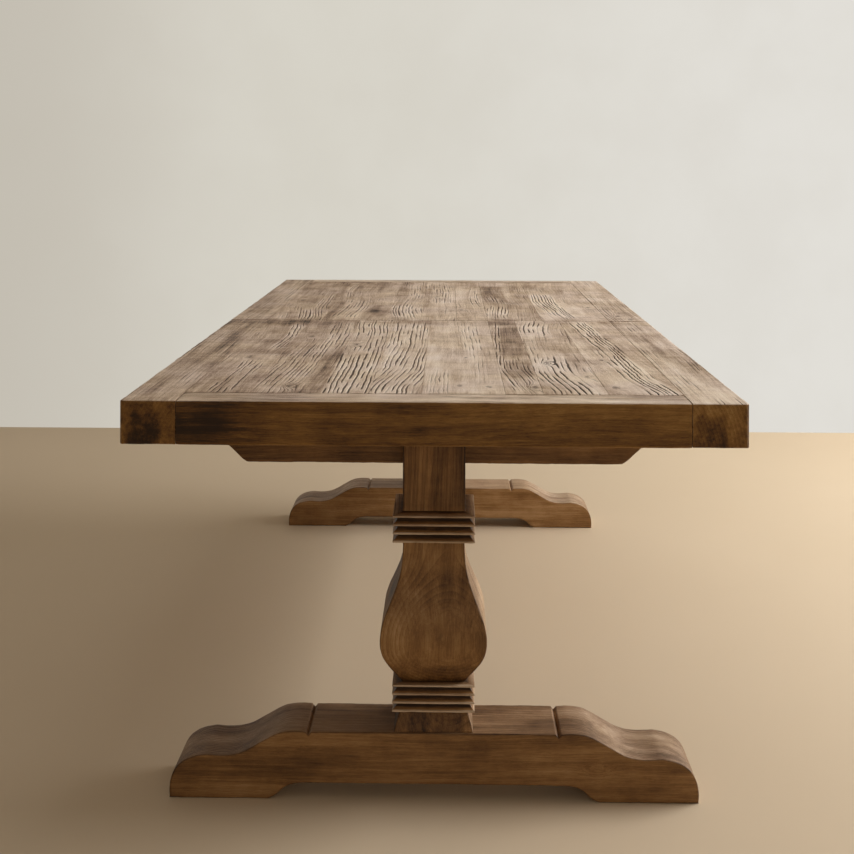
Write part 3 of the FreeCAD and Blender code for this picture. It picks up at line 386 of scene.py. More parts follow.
def grained_wood(name, seed, wear_and_sheen_ramp, fresh_ramp, gloss, figure):
    """Weathered wood. A ramp runs from the darkest to the lightest colour; the piece's own values say
    where the grooves and knots are, and where the pale ramp shows: wear and fading, and on the base also
    painted sheen on the tops and painted highlights on the collar ridges. The figure says how strongly
    the rings show."""
    finish = Finish(name)
    plus, minus, times, rise, mix = finish.plus, finish.minus, finish.times, finish.rise, finish.mix
    ring, turned, along, score, knot, tone, wear_and_sheen = (
        finish.value(key) for key in ("ring", "turn", "along", "score", "knot", "tone", "wear_and_sheen"))
    place = finish.object_place()

    def grain_noise(across, lengthwise, offset, detail):
        shifted = plus(times(along, lengthwise), seed + offset)
        places = {0: times(ring, across), 1: times(turned, across), 2: shifted}
        vector = finish.node("ShaderNodeCombineXYZ", places).outputs[0]
        return finish.noise(vector, 1.0, detail, 0.6)

    fibre = grain_noise(7.0, 30.0, 0.0, 4.0)
    hair = grain_noise(30.0, 75.0, 3.0, 2.0)
    streak = grain_noise(1.1, 4.5, 9.0, 4.0)
    dash = grain_noise(16.0, 110.0, 15.0, 1.0)
    blotch = finish.noise(place, 9.0, 5.0, 0.62)
    smudge = finish.noise(finish.stretched(place, (16.0, 46.0, 30.0)), 1.0, 4.0, 0.65)
    turn = finish.math("FRACT", ring)
    off = finish.math("ABSOLUTE", minus(turn, 0.5))
    cut = times(rise(off, 0.0, VALLEY_WIDTH + 0.05, 1.0, 0.0), score)
    late = finish.math("POWER", turn, 2.0)
    shown = times(rise(blotch, 0.38, 0.62, 0.35, 1.5), figure)

    light = tone
    for value, amount in ((fibre, 0.75), (streak, 0.65), (hair, 0.35), (blotch, 0.70), (smudge, 0.40)):
        light = plus(light, times(minus(value, 0.5), amount))
    pore = times(rise(dash, 0.60, 0.70), 0.22)
    light = minus(light, pore)
    fresh_light = minus(light, times(late, shown))
    wear_and_sheen_light = plus(light, times(late, 0.07))

    def ramped(value, shades):
        made = finish.node("ShaderNodeValToRGB", {"Fac": value})
        elements = made.color_ramp.elements
        while len(elements) < len(shades):
            elements.new(0.5)
        for k, shade in enumerate(shades):
            elements[k].position = k / (len(shades) - 1)
            elements[k].color = shade
        return made.outputs["Color"]

    fresh = mix(times(rise(cut, 0.1, 0.8), min(0.4, 2.5 * figure)), ramped(fresh_light, fresh_ramp),
                fresh_ramp[0])
    bare = mix(times(rise(cut, 0.10, 0.60), 0.90), ramped(wear_and_sheen_light, wear_and_sheen_ramp), wear_and_sheen_ramp[0])
    bare = finish.tint(bare, rise(finish.noise(place, 7.0, 4.0, 0.6), 0.36, 0.64),
                       (1.0, 0.97, 0.90, 1.0), (0.99, 0.97, 0.98, 1.0))
    shade = mix(wear_and_sheen, fresh, bare)
    shade = mix(times(knot, 0.62), shade, fresh_ramp[0])
    spots = finish.node("ShaderNodeTexVoronoi", {"Vector": place, "Scale": 21.0})
    chosen = rise(finish.node("ShaderNodeSeparateColor", {"Color": spots.outputs["Color"]}).outputs[0],
                  0.86, 0.88)
    hole = times(rise(spots.outputs["Distance"], 0.03, 0.06, 1.0, 0.0), chosen)
    shade = mix(times(hole, 0.8), shade, fresh_ramp[0])
    finish.give("Base Color", shade)

    rough = rise(fibre, 0.3, 0.7, gloss, gloss + 0.16)
    finish.give("Roughness", finish.math("ADD", rough, times(plus(cut, wear_and_sheen), 0.12), clamp=True))
    height = minus(times(fibre, 0.6), plus(cut, plus(hole, pore)))
    height = plus(height, times(hair, 0.3))
    height = plus(height, times(smudge, 0.5))
    finish.bump(height, 0.6, 0.6 * MM)
    return finish.material


def planed_wood(name, axis, light, middle, dark, seed):
    """Plain planed wood for the hidden pieces, with its grain along the axis."""
    finish = Finish(name)
    place = finish.object_place()
    stretch = [70.0, 70.0, 70.0]
    stretch[axis] = 3.0
    turned = finish.stretched(place, stretch, (seed, 2.0 * seed, 0.5 * seed))
    bands = finish.noise(turned, 0.35, 3.0, 0.6)
    fibre = finish.noise(turned, 2.4, 4.0, 0.65)
    blotch = finish.noise(place, 5.0, 3.0, 0.5)
    shade = finish.mix(finish.rise(bands, 0.35, 0.65), middle, light)
    shade = finish.mix(finish.times(finish.rise(fibre, 0.5, 0.75), 0.55), shade, dark)
    shade = finish.mix(finish.times(finish.rise(blotch, 0.5, 0.75), 0.35), shade, dark)
    finish.give("Base Color", shade)
    finish.give("Roughness", finish.rise(fibre, 0.2, 0.8, 0.58, 0.75))
    finish.bump(finish.plus(fibre, finish.times(bands, 0.5)), 0.35, 0.4 * MM)
    return finish.material


def worn_metal(name, light, dark, rough, scale):
    finish = Finish(name)
    place = finish.object_place()
    cloud = finish.noise(place, scale, 4.0, 0.6)
    fine = finish.noise(place, scale * 12, 2.0, 0.5)
    finish.give("Base Color", finish.mix(finish.rise(cloud, 0.35, 0.65), light, dark))
    finish.give("Roughness", finish.rise(cloud, 0.3, 0.7, rough, rough + 0.2))
    finish.give("Metallic", 1.0)
    finish.bump(fine, 0.25, 0.1 * MM)
    return finish.material


WORN = ramp((56, 42, 33), (148, 126, 108), (194, 174, 156), (224, 208, 193), (242, 230, 218))
STAINED = ramp((50, 31, 15), (100, 69, 38), (134, 97, 56), (160, 122, 78), (186, 150, 107))
OILED = ramp((44, 26, 10), (97, 64, 27), (132, 94, 44), (160, 121, 67), (188, 152, 98))
# The base's pale ramp: dust on the top faces, which also stands for a painted sheen there, and painted
# highlights on the collar ridges.
DUST_AND_SHEEN = ramp((58, 43, 31), (112, 87, 65), (150, 125, 101), (184, 162, 140), (210, 194, 174))

board_wood = grained_wood("board_wood", 2.0, WORN, OILED, 0.62, 0.16)
rail_wood = grained_wood("rail_wood", 5.0, WORN, OILED, 0.52, 0.09)
base_wood = grained_wood("base_wood", 8.0, DUST_AND_SHEEN, STAINED, 0.44, 0.07)
post_wood = grained_wood("post_wood", 8.0, DUST_AND_SHEEN, STAINED, 0.44, 0.17)


# Boards. Widths are in millimetres from the middle of the table, and lengths are shares of the way from
# the seam to the end of the board.
#   tone     0 is dark and 1 is light
#   score    how deep the grooves are over the whole board
#   pitch    distance of the grooves
#   path     how the grain wanders sideways
#   bands    places with deep grooves: middle, half width, depth, start, end
#   patches  places of another tone: left, right, start, end, change of tone
#   knots    place across, place along, size

Look = namedtuple("Look", "tone score pitch path bands patches knots")

BOARDS = {
    "near_board_1": Look(0.35, 0.22, 9, ((0, 0), (0.3, 12), (0.6, -2), (1, -10)),
        ((-352, 15, 0.95, 0.08, 0.5), (-368, 28, 0.65, 0.66, 1)), ((-440, -310, 0.12, 0.62, 0.09),),
        ((-388, 0.6, 9),)),
    "near_board_2": Look(0.41, 0.34, 8.2, ((0, -6), (0.35, 4), (0.65, -8), (1, -16)),
        ((-232, 30, 0.8, 0.06, 0.52), (-270, 45, 0.62, 0.4, 1)), ((-300, -250, 0.5, 0.95, -0.04),
        (-310, -190, 0.12, 0.5, 0.06)), ((-292, 0.3, 8), (-262, 0.93, 7))),
    "near_board_3": Look(0.54, 0.42, 9.6, ((0, -6), (0.25, 5), (0.5, -3), (0.75, 3), (1, 1)),
        ((-157, 44, 1.6, 0.56, 1), (-160, 40, 0.95, 0.04, 0.28), (-150, 30, 0.7, 0.25, 0.6)), (),
        ((-180, 0.42, 7),)),
    "near_board_4": Look(0.6, 0.4, 9, ((0, 6), (0.45, 2), (0.7, -6), (1, -34)),
        ((-70, 46, 0.62, 0.04, 0.5), (-52, 52, 0.8, 0.5, 1)), (), ()),
    "near_board_5": Look(0.66, 0.14, 8, ((0, 0), (0.5, 4), (1, -2)), ((75, 22, 0.45, 0.04, 0.5),
        (10, 22, 0.4, 0.75, 1)), ((-20, 14, 0.52, 0.8, 0.1), (40, 44, 0.05, 0.6, -0.14)),
        ((46, 0.92, 5), (99, 0.93, 6), (62, 0.6, 4))),
    "near_board_6": Look(0.5, 0.42, 7, ((0, 10), (0.4, 0), (0.7, -6), (1, 16)),
        ((136, 8, 1, 0.05, 1), (168, 26, 0.55, 0.6, 1)), ((130, 192, 0.13, 0.59, -0.24),
        (130, 190, 0.64, 0.83, -0.3)), ((182, 0.93, 8),)),
    "near_board_7": Look(0.56, 0.32, 11.5, ((0, 22), (0.2, 6), (0.5, 0), (0.75, -4), (1, 22)),
        ((232, 40, 0.95, 0.6, 1), (225, 34, 0.85, 0.03, 0.24)), ((220, 262, 0.3, 0.52, -0.12),),
        ((226, 0.66, 7), (288, 0.82, 5))),
    "near_board_8": Look(0.58, 0.26, 8.8, ((0, -22), (0.2, -14), (0.58, 2), (0.8, 12), (1, 34)),
        ((374, 25, 1.4, 0.04, 1), (350, 12, 0.6, 0.5, 1)), ((352, 398, 0.25, 0.75, -0.1),),
        ((328, 0.93, 8), (340, 0.62, 5))),
    "far_board_1": Look(0.44, 0.3, 8.6, ((0, 14), (0.3, 0), (1, -12)), ((-345, 40, 0.85, 0, 0.2),
        (-330, 18, 0.6, 0.2, 0.6)), ((-330, -302, 0, 0.5, -0.12),), ((-400, 0.45, 9),)),
    "far_board_2": Look(0.48, 0.3, 9.2, ((0, -8), (0.3, 8), (0.7, -4), (1, 4)),
        ((-240, 40, 0.6, 0.05, 0.45), (-280, 12, 0.8, 0.55, 0.95)), ((-190, -164, 0.12, 0.3, -0.18),
        (-300, -275, 0, 0.42, -0.12)), ((-177, 0.2, 11),)),
    "far_board_3": Look(0.54, 0.4, 9, ((0, 10), (0.25, -6), (0.6, 6), (1, 0)),
        ((-98, 32, 0.95, 0.08, 0.34), (-85, 20, 0.5, 0.34, 0.9)), (), ()),
    "far_board_4": Look(0.6, 0.22, 8, ((0, 0), (0.4, 6), (1, -6)), ((5, 30, 0.5, 0.4, 0.95),),
        ((-44, -30, 0.3, 0.8, -0.16),), ((-10, 0.55, 6),)),
    "far_board_5": Look(0.62, 0.16, 8, ((0, 4), (0.5, -4), (1, 4)), ((105, 14, 0.5, 0.3, 0.8),), (),
        ((60, 0.23, 6),)),
    "far_board_6": Look(0.54, 0.4, 7.6, ((0, -6), (0.35, 4), (0.7, -6), (1, 4)),
        ((160, 30, 0.85, 0.06, 0.3), (152, 22, 0.8, 0.42, 0.55)), ((130, 196, 0.42, 0.86, -0.26),
        (140, 200, 0, 0.12, -0.14)), ((210, 0.4, 6),)),
    "far_board_7": Look(0.6, 0.28, 8, ((0, 22), (0.2, 8), (0.45, -10), (0.75, -4), (1, 10)),
        ((312, 34, 0.95, 0.06, 0.62),), ((350, 400, 0.3, 0.6, -0.08),), ((415, 0.3, 7),)),
}


def board_grain(points, look, seed):
    """The flat grain of a board, seen from above."""
    across = points[:, 0] / MM
    share = np.abs(points[:, 1]) / BOARD_END
    length = np.abs(points[:, 1]) / MM
    side = across - along_path(share, look.path)
    side = side + 0.5 * (TOP - points[:, 2]) / MM

    def wander(size, stretch, offset):
        return noise(side / size, 0, length / stretch, seed + offset)

    warp = (6.0 * wander(60, 300, 0) + 2.0 * wander(22, 85, 1) + 1.2 * wander(8, 24, 2)
            + 0.5 * wander(5, 9, 11))
    ring = (side + warp) / look.pitch + 200
    ring = ring + 0.45 * noise(ring * 0.7, 0, length / 700, seed + 3)
    knot = np.zeros(len(points))
    for place, where, size in look.knots:
        away = (share - where) * (BOARD_END / MM) / 2.4
        near = np.exp(-((across - place) ** 2 + away ** 2) / (2 * size ** 2))
        ring = ring + 3.2 * near
        ragged = 0.45 * noise(across / 3.5, 0, length / 5, seed + 10)
        knot = np.maximum(knot, step(near + ragged * near, 0.55, 1.05))
    score = 0.6 * look.score + 0.30 * wander(30, 150, 4)
    lift = 0
    for middle, half, depth, start, end in look.bands:
        inside = ((1 - step(np.abs(side - middle), 0.72 * half, 1.2 * half))
                  * step(share, start - 0.06, start + 0.06) * (1 - step(share, end - 0.05, end + 0.07)))
        score = np.maximum(score, depth * inside)
        lift = np.maximum(lift, 0.22 * min(depth, 1.2) * inside)
    broken = noise(np.floor(ring) * 1.31, 0, length / 55, seed + 5)
    score = np.clip(score * (0.80 + 1.15 * broken), 0, 1)
    tone = look.tone + lift + 0.14 * wander(34, 260, 6) + 0.10 * wander(12, 70, 7)
    for left, right, start, end, change in look.patches:
        ragged = across + 5.0 * wander(10, 30, 8)
        inside = step(ragged, left - 7, left + 7) * (1 - step(ragged, right - 7, right + 7))
        fray = share + 0.02 * noise(side / 6, 0, 0, seed + 9)
        inside = inside * step(fray, start - 0.03, start + 0.03)
        inside = inside * (1 - step(fray, end - 0.03, end + 0.03))
        tone = tone + change * inside
    tone = tone - 0.23 * seam_band(points) - 0.08 * step(share, 0.975, 1)
    tone = tone - 0.06 * step(points[:, 1], 0.55, 0.85)
    return {"ring": ring, "turn": 0 * ring, "along": points[:, 1] + seed, "score": score, "knot": knot,
            "tone": tone, "wear_and_sheen": np.ones(len(points))}


# How much nearer each side of a board comes to its neighbour, so that the joint nearly closes.
TIGHTER = 0.15 * MM

# Where the seam pins enter the far half: place across and height.
PIN_HEIGHT = 0.748
BORES = ((-0.4855, PIN_HEIGHT), (0.090, PIN_HEIGHT), (0.4855, PIN_HEIGHT))
BORE_RADIUS = 4.4 * MM
BORE_DEPTH = 15 * MM


def bores_of(low, high):
    """The bores of a piece that begins at the seam on the far half, and the mesh lines round them
    across and upwards."""
    bores = [bore for bore in BORES if 0 < low.y < 2 * SEAM_HALF and low.x < bore[0] < high.x]
    around = np.linspace(-1.25, 1.25, 11) * BORE_RADIUS
    return bores, [np.ravel([bore[k] + around for bore in bores]) for k in range(2)]


def sink_bores(points, bores):
    """Pushes the seam face back where a pin enters it."""
    for across, up in bores:
        inside = np.hypot(points[:, 0] - across, points[:, 2] - up) < BORE_RADIUS
        points[inside & (points[:, 1] < BORE_DEPTH / 2), 1] = BORE_DEPTH


def add_board(node, look, seed):
    low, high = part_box(node)
    near_half = low.y < 0
    joint, seam = 0.2 * MM, 0.5 * MM
    low.x, high.x = low.x - TIGHTER, high.x + TIGHTER
    low.y, high.y = (low.y - TIGHTER, high.y) if near_half else (low.y, high.y + TIGHTER)
    rims = ((joint, joint), (joint, seam) if near_half else (seam, joint), (joint, 1.4 * MM))
    by_seam = np.array((3.2, 5.0, 7.5)) * MM
    by_seam = high.y - by_seam if near_half else low.y + by_seam
    bores, by_bore = bores_of(low, high)
    points, quads, strips = block(lines(low.x, high.x, 1.5 * MM, rims[0], by_bore[0]),
                                  lines(low.y, high.y, 5 * MM, rims[1], by_seam),
                                  lines(low.z, high.z, 9 * MM, rims[2], by_bore[1]), plain_underside=True)
    points, edge = soften(points, low, high, rims)
    normals = normals_of(points, quads)
    grain = board_grain(points, look, seed)
    upper = step(normals[:, 2], 0.0, 0.7)
    points = carve(points, normals, grain, 1.7 * MM, upper)
    sink = worn_edge(points, edge, 4 * MM, 0.5 * MM, seed)
    sink = sink + 0.3 * MM * at_seam(points, 8 * MM, 4 * MM) ** 2
    points = points - normals * (upper * sink)[:, None]
    sink_bores(points, bores)
    add_worn(node, points, quads.tolist() + strips, grain, board_wood, "top_boards", len(strips))


for seed, (node, look) in enumerate(BOARDS.items(), start=11):
    add_board(node, look, 3 * seed)


# Rails of the frame

# How far the colour has faded on the sides that face the light.
FADED = 0.5

KNOTS = (((-0.012, -0.43, 0.036), 0.009), ((0.012, -0.50, 0.036), 0.008), ((0.0, -0.36, 0.036), 0.006))

# Each rail: axis, place of the pith, pitch of the rings, tone, knots, and the middle of the dark patch
# on a side rail's end grain.
RAILS = {
    "near_left_rail": (1, (0.13, -0.05), 7.0, 0.43, (), -0.490),
    "near_right_rail": (1, (-0.14, -0.05), 6.5, 0.58, (), 0.468),
    "far_left_rail": (1, (0.12, -0.06), 6.5, 0.42, (), -0.482),
    "far_right_rail": (1, (-0.13, -0.04), 7.0, 0.56, KNOTS, 0.492),
    "near_end_rail": (0, (0.10, -0.06), 5.5, 0.54, (), None),
    "far_end_rail": (0, (-0.10, -0.06), 6.0, 0.48, (), None),
}

CORNER_RADIUS = 7 * MM


def round_corner(points, corner, inward):
    """Rounds the upright edge at the corner, seen from above; inward says which way the rail lies."""
    centre = np.array(corner) + CORNER_RADIUS * np.array(inward)
    away = (points[:, :2] - centre) * -np.array(inward)
    outside = (away > 0).all(axis=1)
    reach = np.hypot(*away.T)
    shrink = np.where(outside, away.max(axis=1) / np.maximum(reach, 1e-9), 1)
    rounded = centre - away * shrink[:, None] * np.array(inward)
    return np.column_stack([np.where(outside[:, None], rounded, points[:, :2]), points[:, 2]])


def add_rail(node, seed, axis, pith, pitch, tone, knots, dark_place):
    low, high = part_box(node)
    near_half = low.y < 0
    outer, joint, seam = 3 * MM, 0.6 * MM, 0.5 * MM
    if axis == 0:
        low.x, high.x = -PANEL_HALF, PANEL_HALF
        across, inner = (joint, joint), joint
    else:
        across, inner = (outer, joint) if low.x < 0 else (joint, outer), seam
    rims = (across, (outer, inner) if near_half else (inner, outer), (outer, outer))
    spacing = [2.4 * MM, 2.4 * MM, 3.4 * MM]
    spacing[axis] = 6 * MM
    way = (1 if low.x < 0 else -1, 1 if near_half else -1)
    corner = (low.x if low.x < 0 else high.x, low.y if near_half else high.y)
    turn = [corner[k] + way[k] * CORNER_RADIUS * np.array((0.7, 1.0)) if axis else () for k in range(2)]
    bores, by_bore = bores_of(low, high)
    extra = (np.append(turn[0], by_bore[0]), turn[1], by_bore[1])
    sides = [lines(low[k], high[k], spacing[k], rims[k], extra[k]) for k in range(3)]
    points, quads, strips = block(*sides, plain_underside=axis == 1)
    points, edge = soften(points, low, high, rims)
    if axis:
        points = round_corner(points, corner, way)
    normals = normals_of(points, quads)
    grain = solid_grain(points, axis, pith, pitch * MM, seed, knots)
    upper = step(normals[:, 2], 0.3, 0.8)
    outward = facing(np.abs(normals), 0) * (axis == 1)
    grain["wear_and_sheen"] = np.maximum(upper, FADED * outward)
    shade = grain["tone"] + upper * (tone - 0.5) - 0.04 * (1 - upper) - 0.10 * outward
    shade = shade - 0.17 * upper * seam_band(points)
    shade = shade + 0.18 * (1 - step(points[:, 2], FRAME_BOTTOM, FRAME_BOTTOM + 4 * MM))
    if axis == 0:
        # The end rails' sides are painted darker towards the left, as painted shade.
        shade = shade - 0.36 * (1 - upper) * (1 - step(points[:, 0], -0.40, -0.22))
    else:
        ends = facing(np.abs(normals), 1)
        ragged = 0.005 * noise(points[:, 0] / 0.012, 0, points[:, 2] / 0.012, seed + 9)
        dark = 1 - step(np.abs(points[:, 0] - dark_place + ragged), 0.020, 0.031)
        dark = dark * (1 - step(points[:, 2] + ragged, 0.736, 0.748))
        shade = shade - ends * (0.02 + 0.26 * dark)
    grain["tone"] = shade
    broken = noise(np.floor(grain["ring"]) * 1.31, 0, points[:, axis] / 0.07, seed + 7)
    grain["score"] = np.clip(grain["score"] * (0.75 + 0.9 * broken * upper), 0, 1)
    points = carve(points, normals, grain, 0.9 * MM, 0.35 + 0.65 * upper)
    sink = worn_edge(points, edge, 6 * MM, 1.3 * MM, seed)
    sink = sink + 0.3 * MM * upper * at_seam(points, 8 * MM, 4 * MM) ** 2
    points = points - normals * sink[:, None]
    sink_bores(points, bores)
    add_worn(node, points, quads.tolist() + strips, grain, rail_wood, "frame_wood", len(strips))


for seed, (node, values) in enumerate(RAILS.items(), start=61):
    add_rail(node, seed, *values)


# Feet

ARRIS = 2.8 * MM
ARRIS_TONE = 0.34
FOOT_HALF = 0.061

# The outlines of a foot, in millimetres. Crest and toe give the share of the way along the toe and the
# height; the arch gives the distance from the middle and the height.
FOOT_HEIGHT = 123.5
ARCH_HEIGHT = 29
TOE_TURN = 59.2
GROOVE_OUT = 234
TOE_REACH = 251
CREST = [(0, FOOT_HEIGHT), (0.045, 124.5), (0.10, 124.5), (0.19, 121.4), (0.28, 111.15), (0.375, 97.8),
         (0.47, 85.34), (0.56, 80), (0.64, 79.11), (0.73, 80.89)]
TOE = [(0.73, 80.89), (0.84, 75.2), (0.94, TOE_TURN), (0.987, 36.8), (1.0, 16), (0.997, 0)]
ARCH = [(237, ARCH_HEIGHT), (256.5, 27), (276, 18), (289, 6.4), (302, 0)]

# How far the upper and the lower outline reach from the middle.
UPPER_REACH = 469.9
LOWER_REACH = 484.2


def foot_curves():
    """The upper outline, the lower outline and the end of one half of a foot, in millimetres."""
    crest, toe = (smooth_curve([(GROOVE_OUT + along * TOE_REACH, up) for along, up in curve])
                  for curve in (CREST, TOE))
    turn = int(np.argmin(np.abs(toe[:, 1] - TOE_TURN)))
    groove = [(0, FOOT_HEIGHT), (224, FOOT_HEIGHT), (229, FOOT_HEIGHT - 6)]
    upper = np.concatenate([groove, crest, toe[1:turn + 1]])
    lower = np.concatenate([[(0, ARCH_HEIGHT)], smooth_curve(ARCH), [(toe[-1, 0], 0)]])
    return upper, lower, toe[turn:][::-1]


def foot_place(across, up):
    """Where a point of the foot's side lies: across runs from -1 to 1, and up from 0 to 1."""
    upper, lower, end = foot_curves()
    reach = np.abs(across)
    run = np.concatenate([[0], np.cumsum(np.linalg.norm(np.diff(end, axis=0), axis=1))])
    run = run / run[-1]

    def on_curve(curve):
        place = reach * curve[-1, 0]
        return np.stack([place, np.interp(place, *curve.T)], axis=-1)

    on_end = np.stack([np.interp(up, run, place) for place in end.T], axis=-1)
    middle = np.stack([0 * up, ARCH_HEIGHT + (FOOT_HEIGHT - ARCH_HEIGHT) * up], axis=-1)
    s, t = up[:, None], reach[:, None]
    corners = ((1 - t) * (1 - s) * lower[0] + t * (1 - s) * lower[-1]
               + (1 - t) * s * upper[0] + t * s * upper[-1])
    flat = (1 - s) * on_curve(lower) + s * on_curve(upper) + (1 - t) * middle + t * on_end - corners
    flat[:, 0] *= np.sign(across)
    return flat * MM


def foot_outline():
    upper, lower, end = foot_curves()
    dense = []
    for curve in (lower, end, upper[::-1]):
        for first, second in zip(curve, curve[1:]):
            count = max(1, int(np.linalg.norm(second - first) / 1.2))
            dense += [first + (second - first) * k / count for k in range(count)]
    half = np.array(dense)
    whole = np.concatenate([half, half[::-1] * (-1, 1)])
    following = np.roll(whole, -1, axis=0) - np.roll(whole, 1, axis=0)
    inward = np.stack([-following[:, 1], following[:, 0]], axis=1)
    inward = inward / np.maximum(np.linalg.norm(inward, axis=1), 1e-9)[:, None]
    return whole * MM, inward


def add_foot(node, side, pith, lift, knots, seed):
    radius = 2.6 * MM
    by_groove = np.array([222.5, 224, 225.6, 227.3, 229, 230.7, 232.4, 234, 235.5]) / UPPER_REACH
    by_arch = [ARCH[0][0] / LOWER_REACH, ARCH[-1][0] / LOWER_REACH]
    spread = np.concatenate([np.linspace(0, 1, 84), by_groove, by_arch, [0.9975]])
    reach = np.unique(np.round(spread, 4))
    reach = reach[np.concatenate([[True], np.diff(reach) > 0.0016])]
    across = np.concatenate([-reach[:0:-1], reach])
    up = np.concatenate([[0, 0.006, 0.014, 0.028], np.linspace(0.06, 0.94, 20), [0.972, 0.986, 0.994, 1]])
    deep = lines(-FOOT_HALF, FOOT_HALF, 4 * MM, (radius, radius))
    points, quads, _ = block(across, deep, up)
    flat = foot_place(points[:, 0], points[:, 2])
    outline, inward = foot_outline()
    tree = KDTree(len(outline))
    for k, (x, z) in enumerate(outline):
        tree.insert((x, 0, z), k)
    tree.balance()
    _, nearest, distances = zip(*(tree.find((x, 0, z)) for x, z in flat))
    on_rim = (np.abs(points[:, 0]) > 0.99999) | (points[:, 2] < 1e-6) | (points[:, 2] > 1 - 1e-6)
    inner = np.where(on_rim, 0, distances)
    face = FOOT_HALF - np.abs(points[:, 1])
    corner = (inner < radius) & (face < radius)
    reach_in = np.hypot(inner - radius, face - radius)
    new_inner, new_face = (np.where(corner, radius + (value - radius) / reach_in * radius, value)
                           for value in (inner, face))
    flat = flat + inward[list(nearest)] * (new_inner - inner)[:, None]
    placed = np.stack([flat[:, 0], np.sign(points[:, 1]) * (FOOT_HALF - new_face), flat[:, 1]], axis=1)
    edge = np.maximum(inner, face)
    normals = normals_of(placed, quads)
    grain = solid_grain(placed, 0, pith, 4.6 * MM, seed, knots)
    # Up-facing faces take the pale ramp, more towards the toes: dust, and also a painted sheen.
    dust_and_sheen = 0.38 + 0.34 * step(np.abs(placed[:, 0]), 0.18, 0.36)
    grain["wear_and_sheen"] = np.maximum(dust_and_sheen * step(normals[:, 2], 0.25, 0.85), FADED * facing(normals, 0))
    # The lift, which brightens the far foot where it sits in the table's shade, and the lighter right
    # half towards the window are painted light.
    shade = grain["tone"] + lift + 0.06 * step(placed[:, 0], 0.0, 0.35)
    grain["tone"] = shade - ARRIS_TONE * (1 - step(edge, 0, ARRIS))
    placed = carve(placed, normals, grain, 0.4 * MM)
    placed = placed - normals * worn_edge(placed, edge, 6 * MM, 1.0 * MM, seed)[:, None]
    placed[:, 2] = np.maximum(placed[:, 2], 0)
    placed[:, 1] += side * TRESTLE
    add_worn(node, placed, quads.tolist(), grain, base_wood, "base_wood", others=[node + "_pads"])


add_foot("near_foot", -1, (0.11, -0.10), 0.0, (((0.30, -0.055, -0.005), 0.007),), 81)
add_foot("far_foot", 1, (-0.10, -0.11), 0.19, (), 82)


# Plinths and posts

# The bulb's height and its half width at each share of it, in millimetres, and its lighter and darker
# zones; the dark zone at the bottom, where the bulb turns under, is painted shade.
BULB_HEIGHT = 257.2
BULB = [(0, 58), (0.066, 69.36), (0.14, 81.97), (0.22, 92.15), (0.325, 97), (0.43, 93.6),
        (0.52, 85.85), (0.61, 76.15), (0.70, 66.93), (0.80, 60.14), (0.90, 57.42), (1, 57)]
BULB_TONES = ((BULB_BOTTOM, -0.18), (0.244, -0.18), (0.264, 0.08), (0.345, 0.07), (0.374, -0.13),
              (0.404, -0.13), (0.432, 0.03), (BULB_TOP, 0.0))


def add_square_piece(node, profile, side, pith, knots, radius, seed, squash=0.0):
    """A square turned piece. The profile gives the height and half width of each level, lowest first,
    and squash says how much less deep than wide each half is."""
    heights, halves = np.array(profile).T
    rim = np.array((0, 0.006, 0.016))
    unit = np.concatenate([-1 + rim, np.linspace(-1, 1, 31)[1:-1], 1 - rim[::-1]])
    level = np.arange(len(heights), dtype=float)
    points, quads, _ = block(unit, unit, level)
    row = points[:, 2].astype(int)
    half = halves[row]
    size = np.stack([half, half - squash], axis=1)
    flat = points[:, :2] * size
    bound = size - radius
    core = np.clip(flat, -bound, bound)
    away = flat - core
    distance = np.linalg.norm(away, axis=1)
    on_side = np.abs(points[:, :2]).max(axis=1) > 0.99999
    scale = np.where(on_side, radius / np.maximum(distance, 1e-9), 1)
    flat = core + away * scale[:, None]
    edge = np.sort(size - np.abs(points[:, :2] * size), axis=1)[:, 1]
    placed = np.column_stack([flat, heights[row]])
    normals = normals_of(placed, quads)
    grain = solid_grain(placed, 2, pith, 5.2 * MM, seed, knots)
    below = 1 - step(placed[:, 2], SHAFT_BOTTOM, SHAFT_BOTTOM + 0.01)
    # Up-facing faces take the pale ramp as dust and painted sheen. Sides facing the window also take the
    # faded colour and are painted 0.12 lighter as painted light; sides facing away are painted 0.20
    # darker as painted shade.
    faded_and_lit = facing(normals, 0)
    grain["wear_and_sheen"] = np.maximum(0.5 * step(normals[:, 2], 0.25, 0.85), FADED * faded_and_lit)
    shade = grain["tone"] + 0.20 * below - 0.13 + 0.12 * faded_and_lit - 0.20 * facing(normals, 0, -1)
    shade = shade - ARRIS_TONE * (1 - step(edge, 0, ARRIS))
    grain["tone"] = shade + along_path(placed[:, 2], BULB_TONES)
    amount = np.where((row == 0) | (row == len(heights) - 1), 0, 1)
    placed = carve(placed, normals, grain, 0.45 * MM, amount)
    placed = placed - normals * (amount * worn_edge(placed, edge, 6 * MM, 0.9 * MM, seed))[:, None]
    placed[:, 1] += side * TRESTLE
    add_worn(node, placed, quads.tolist(), grain, post_wood, "base_wood")


def post_profile():
    core = [(up, CORE_HALF) for up in np.linspace(PLINTH_TOP, BULB_BOTTOM, 5)]
    curve = smooth_curve([(up * BULB_HEIGHT, half) for up, half in BULB], 76) * MM
    bulb = [(BULB_BOTTOM + up, half) for up, half in curve]
    neck = [(up, CORE_HALF) for up in np.linspace(BULB_TOP + RING_GAP, SHAFT_BOTTOM - RING_GAP, 5)]
    shaft = [(up, SHAFT_HALF) for up in lines(SHAFT_BOTTOM, FRAME_BOTTOM, 5 * MM, (MM, MM))]
    return core + bulb + neck + shaft


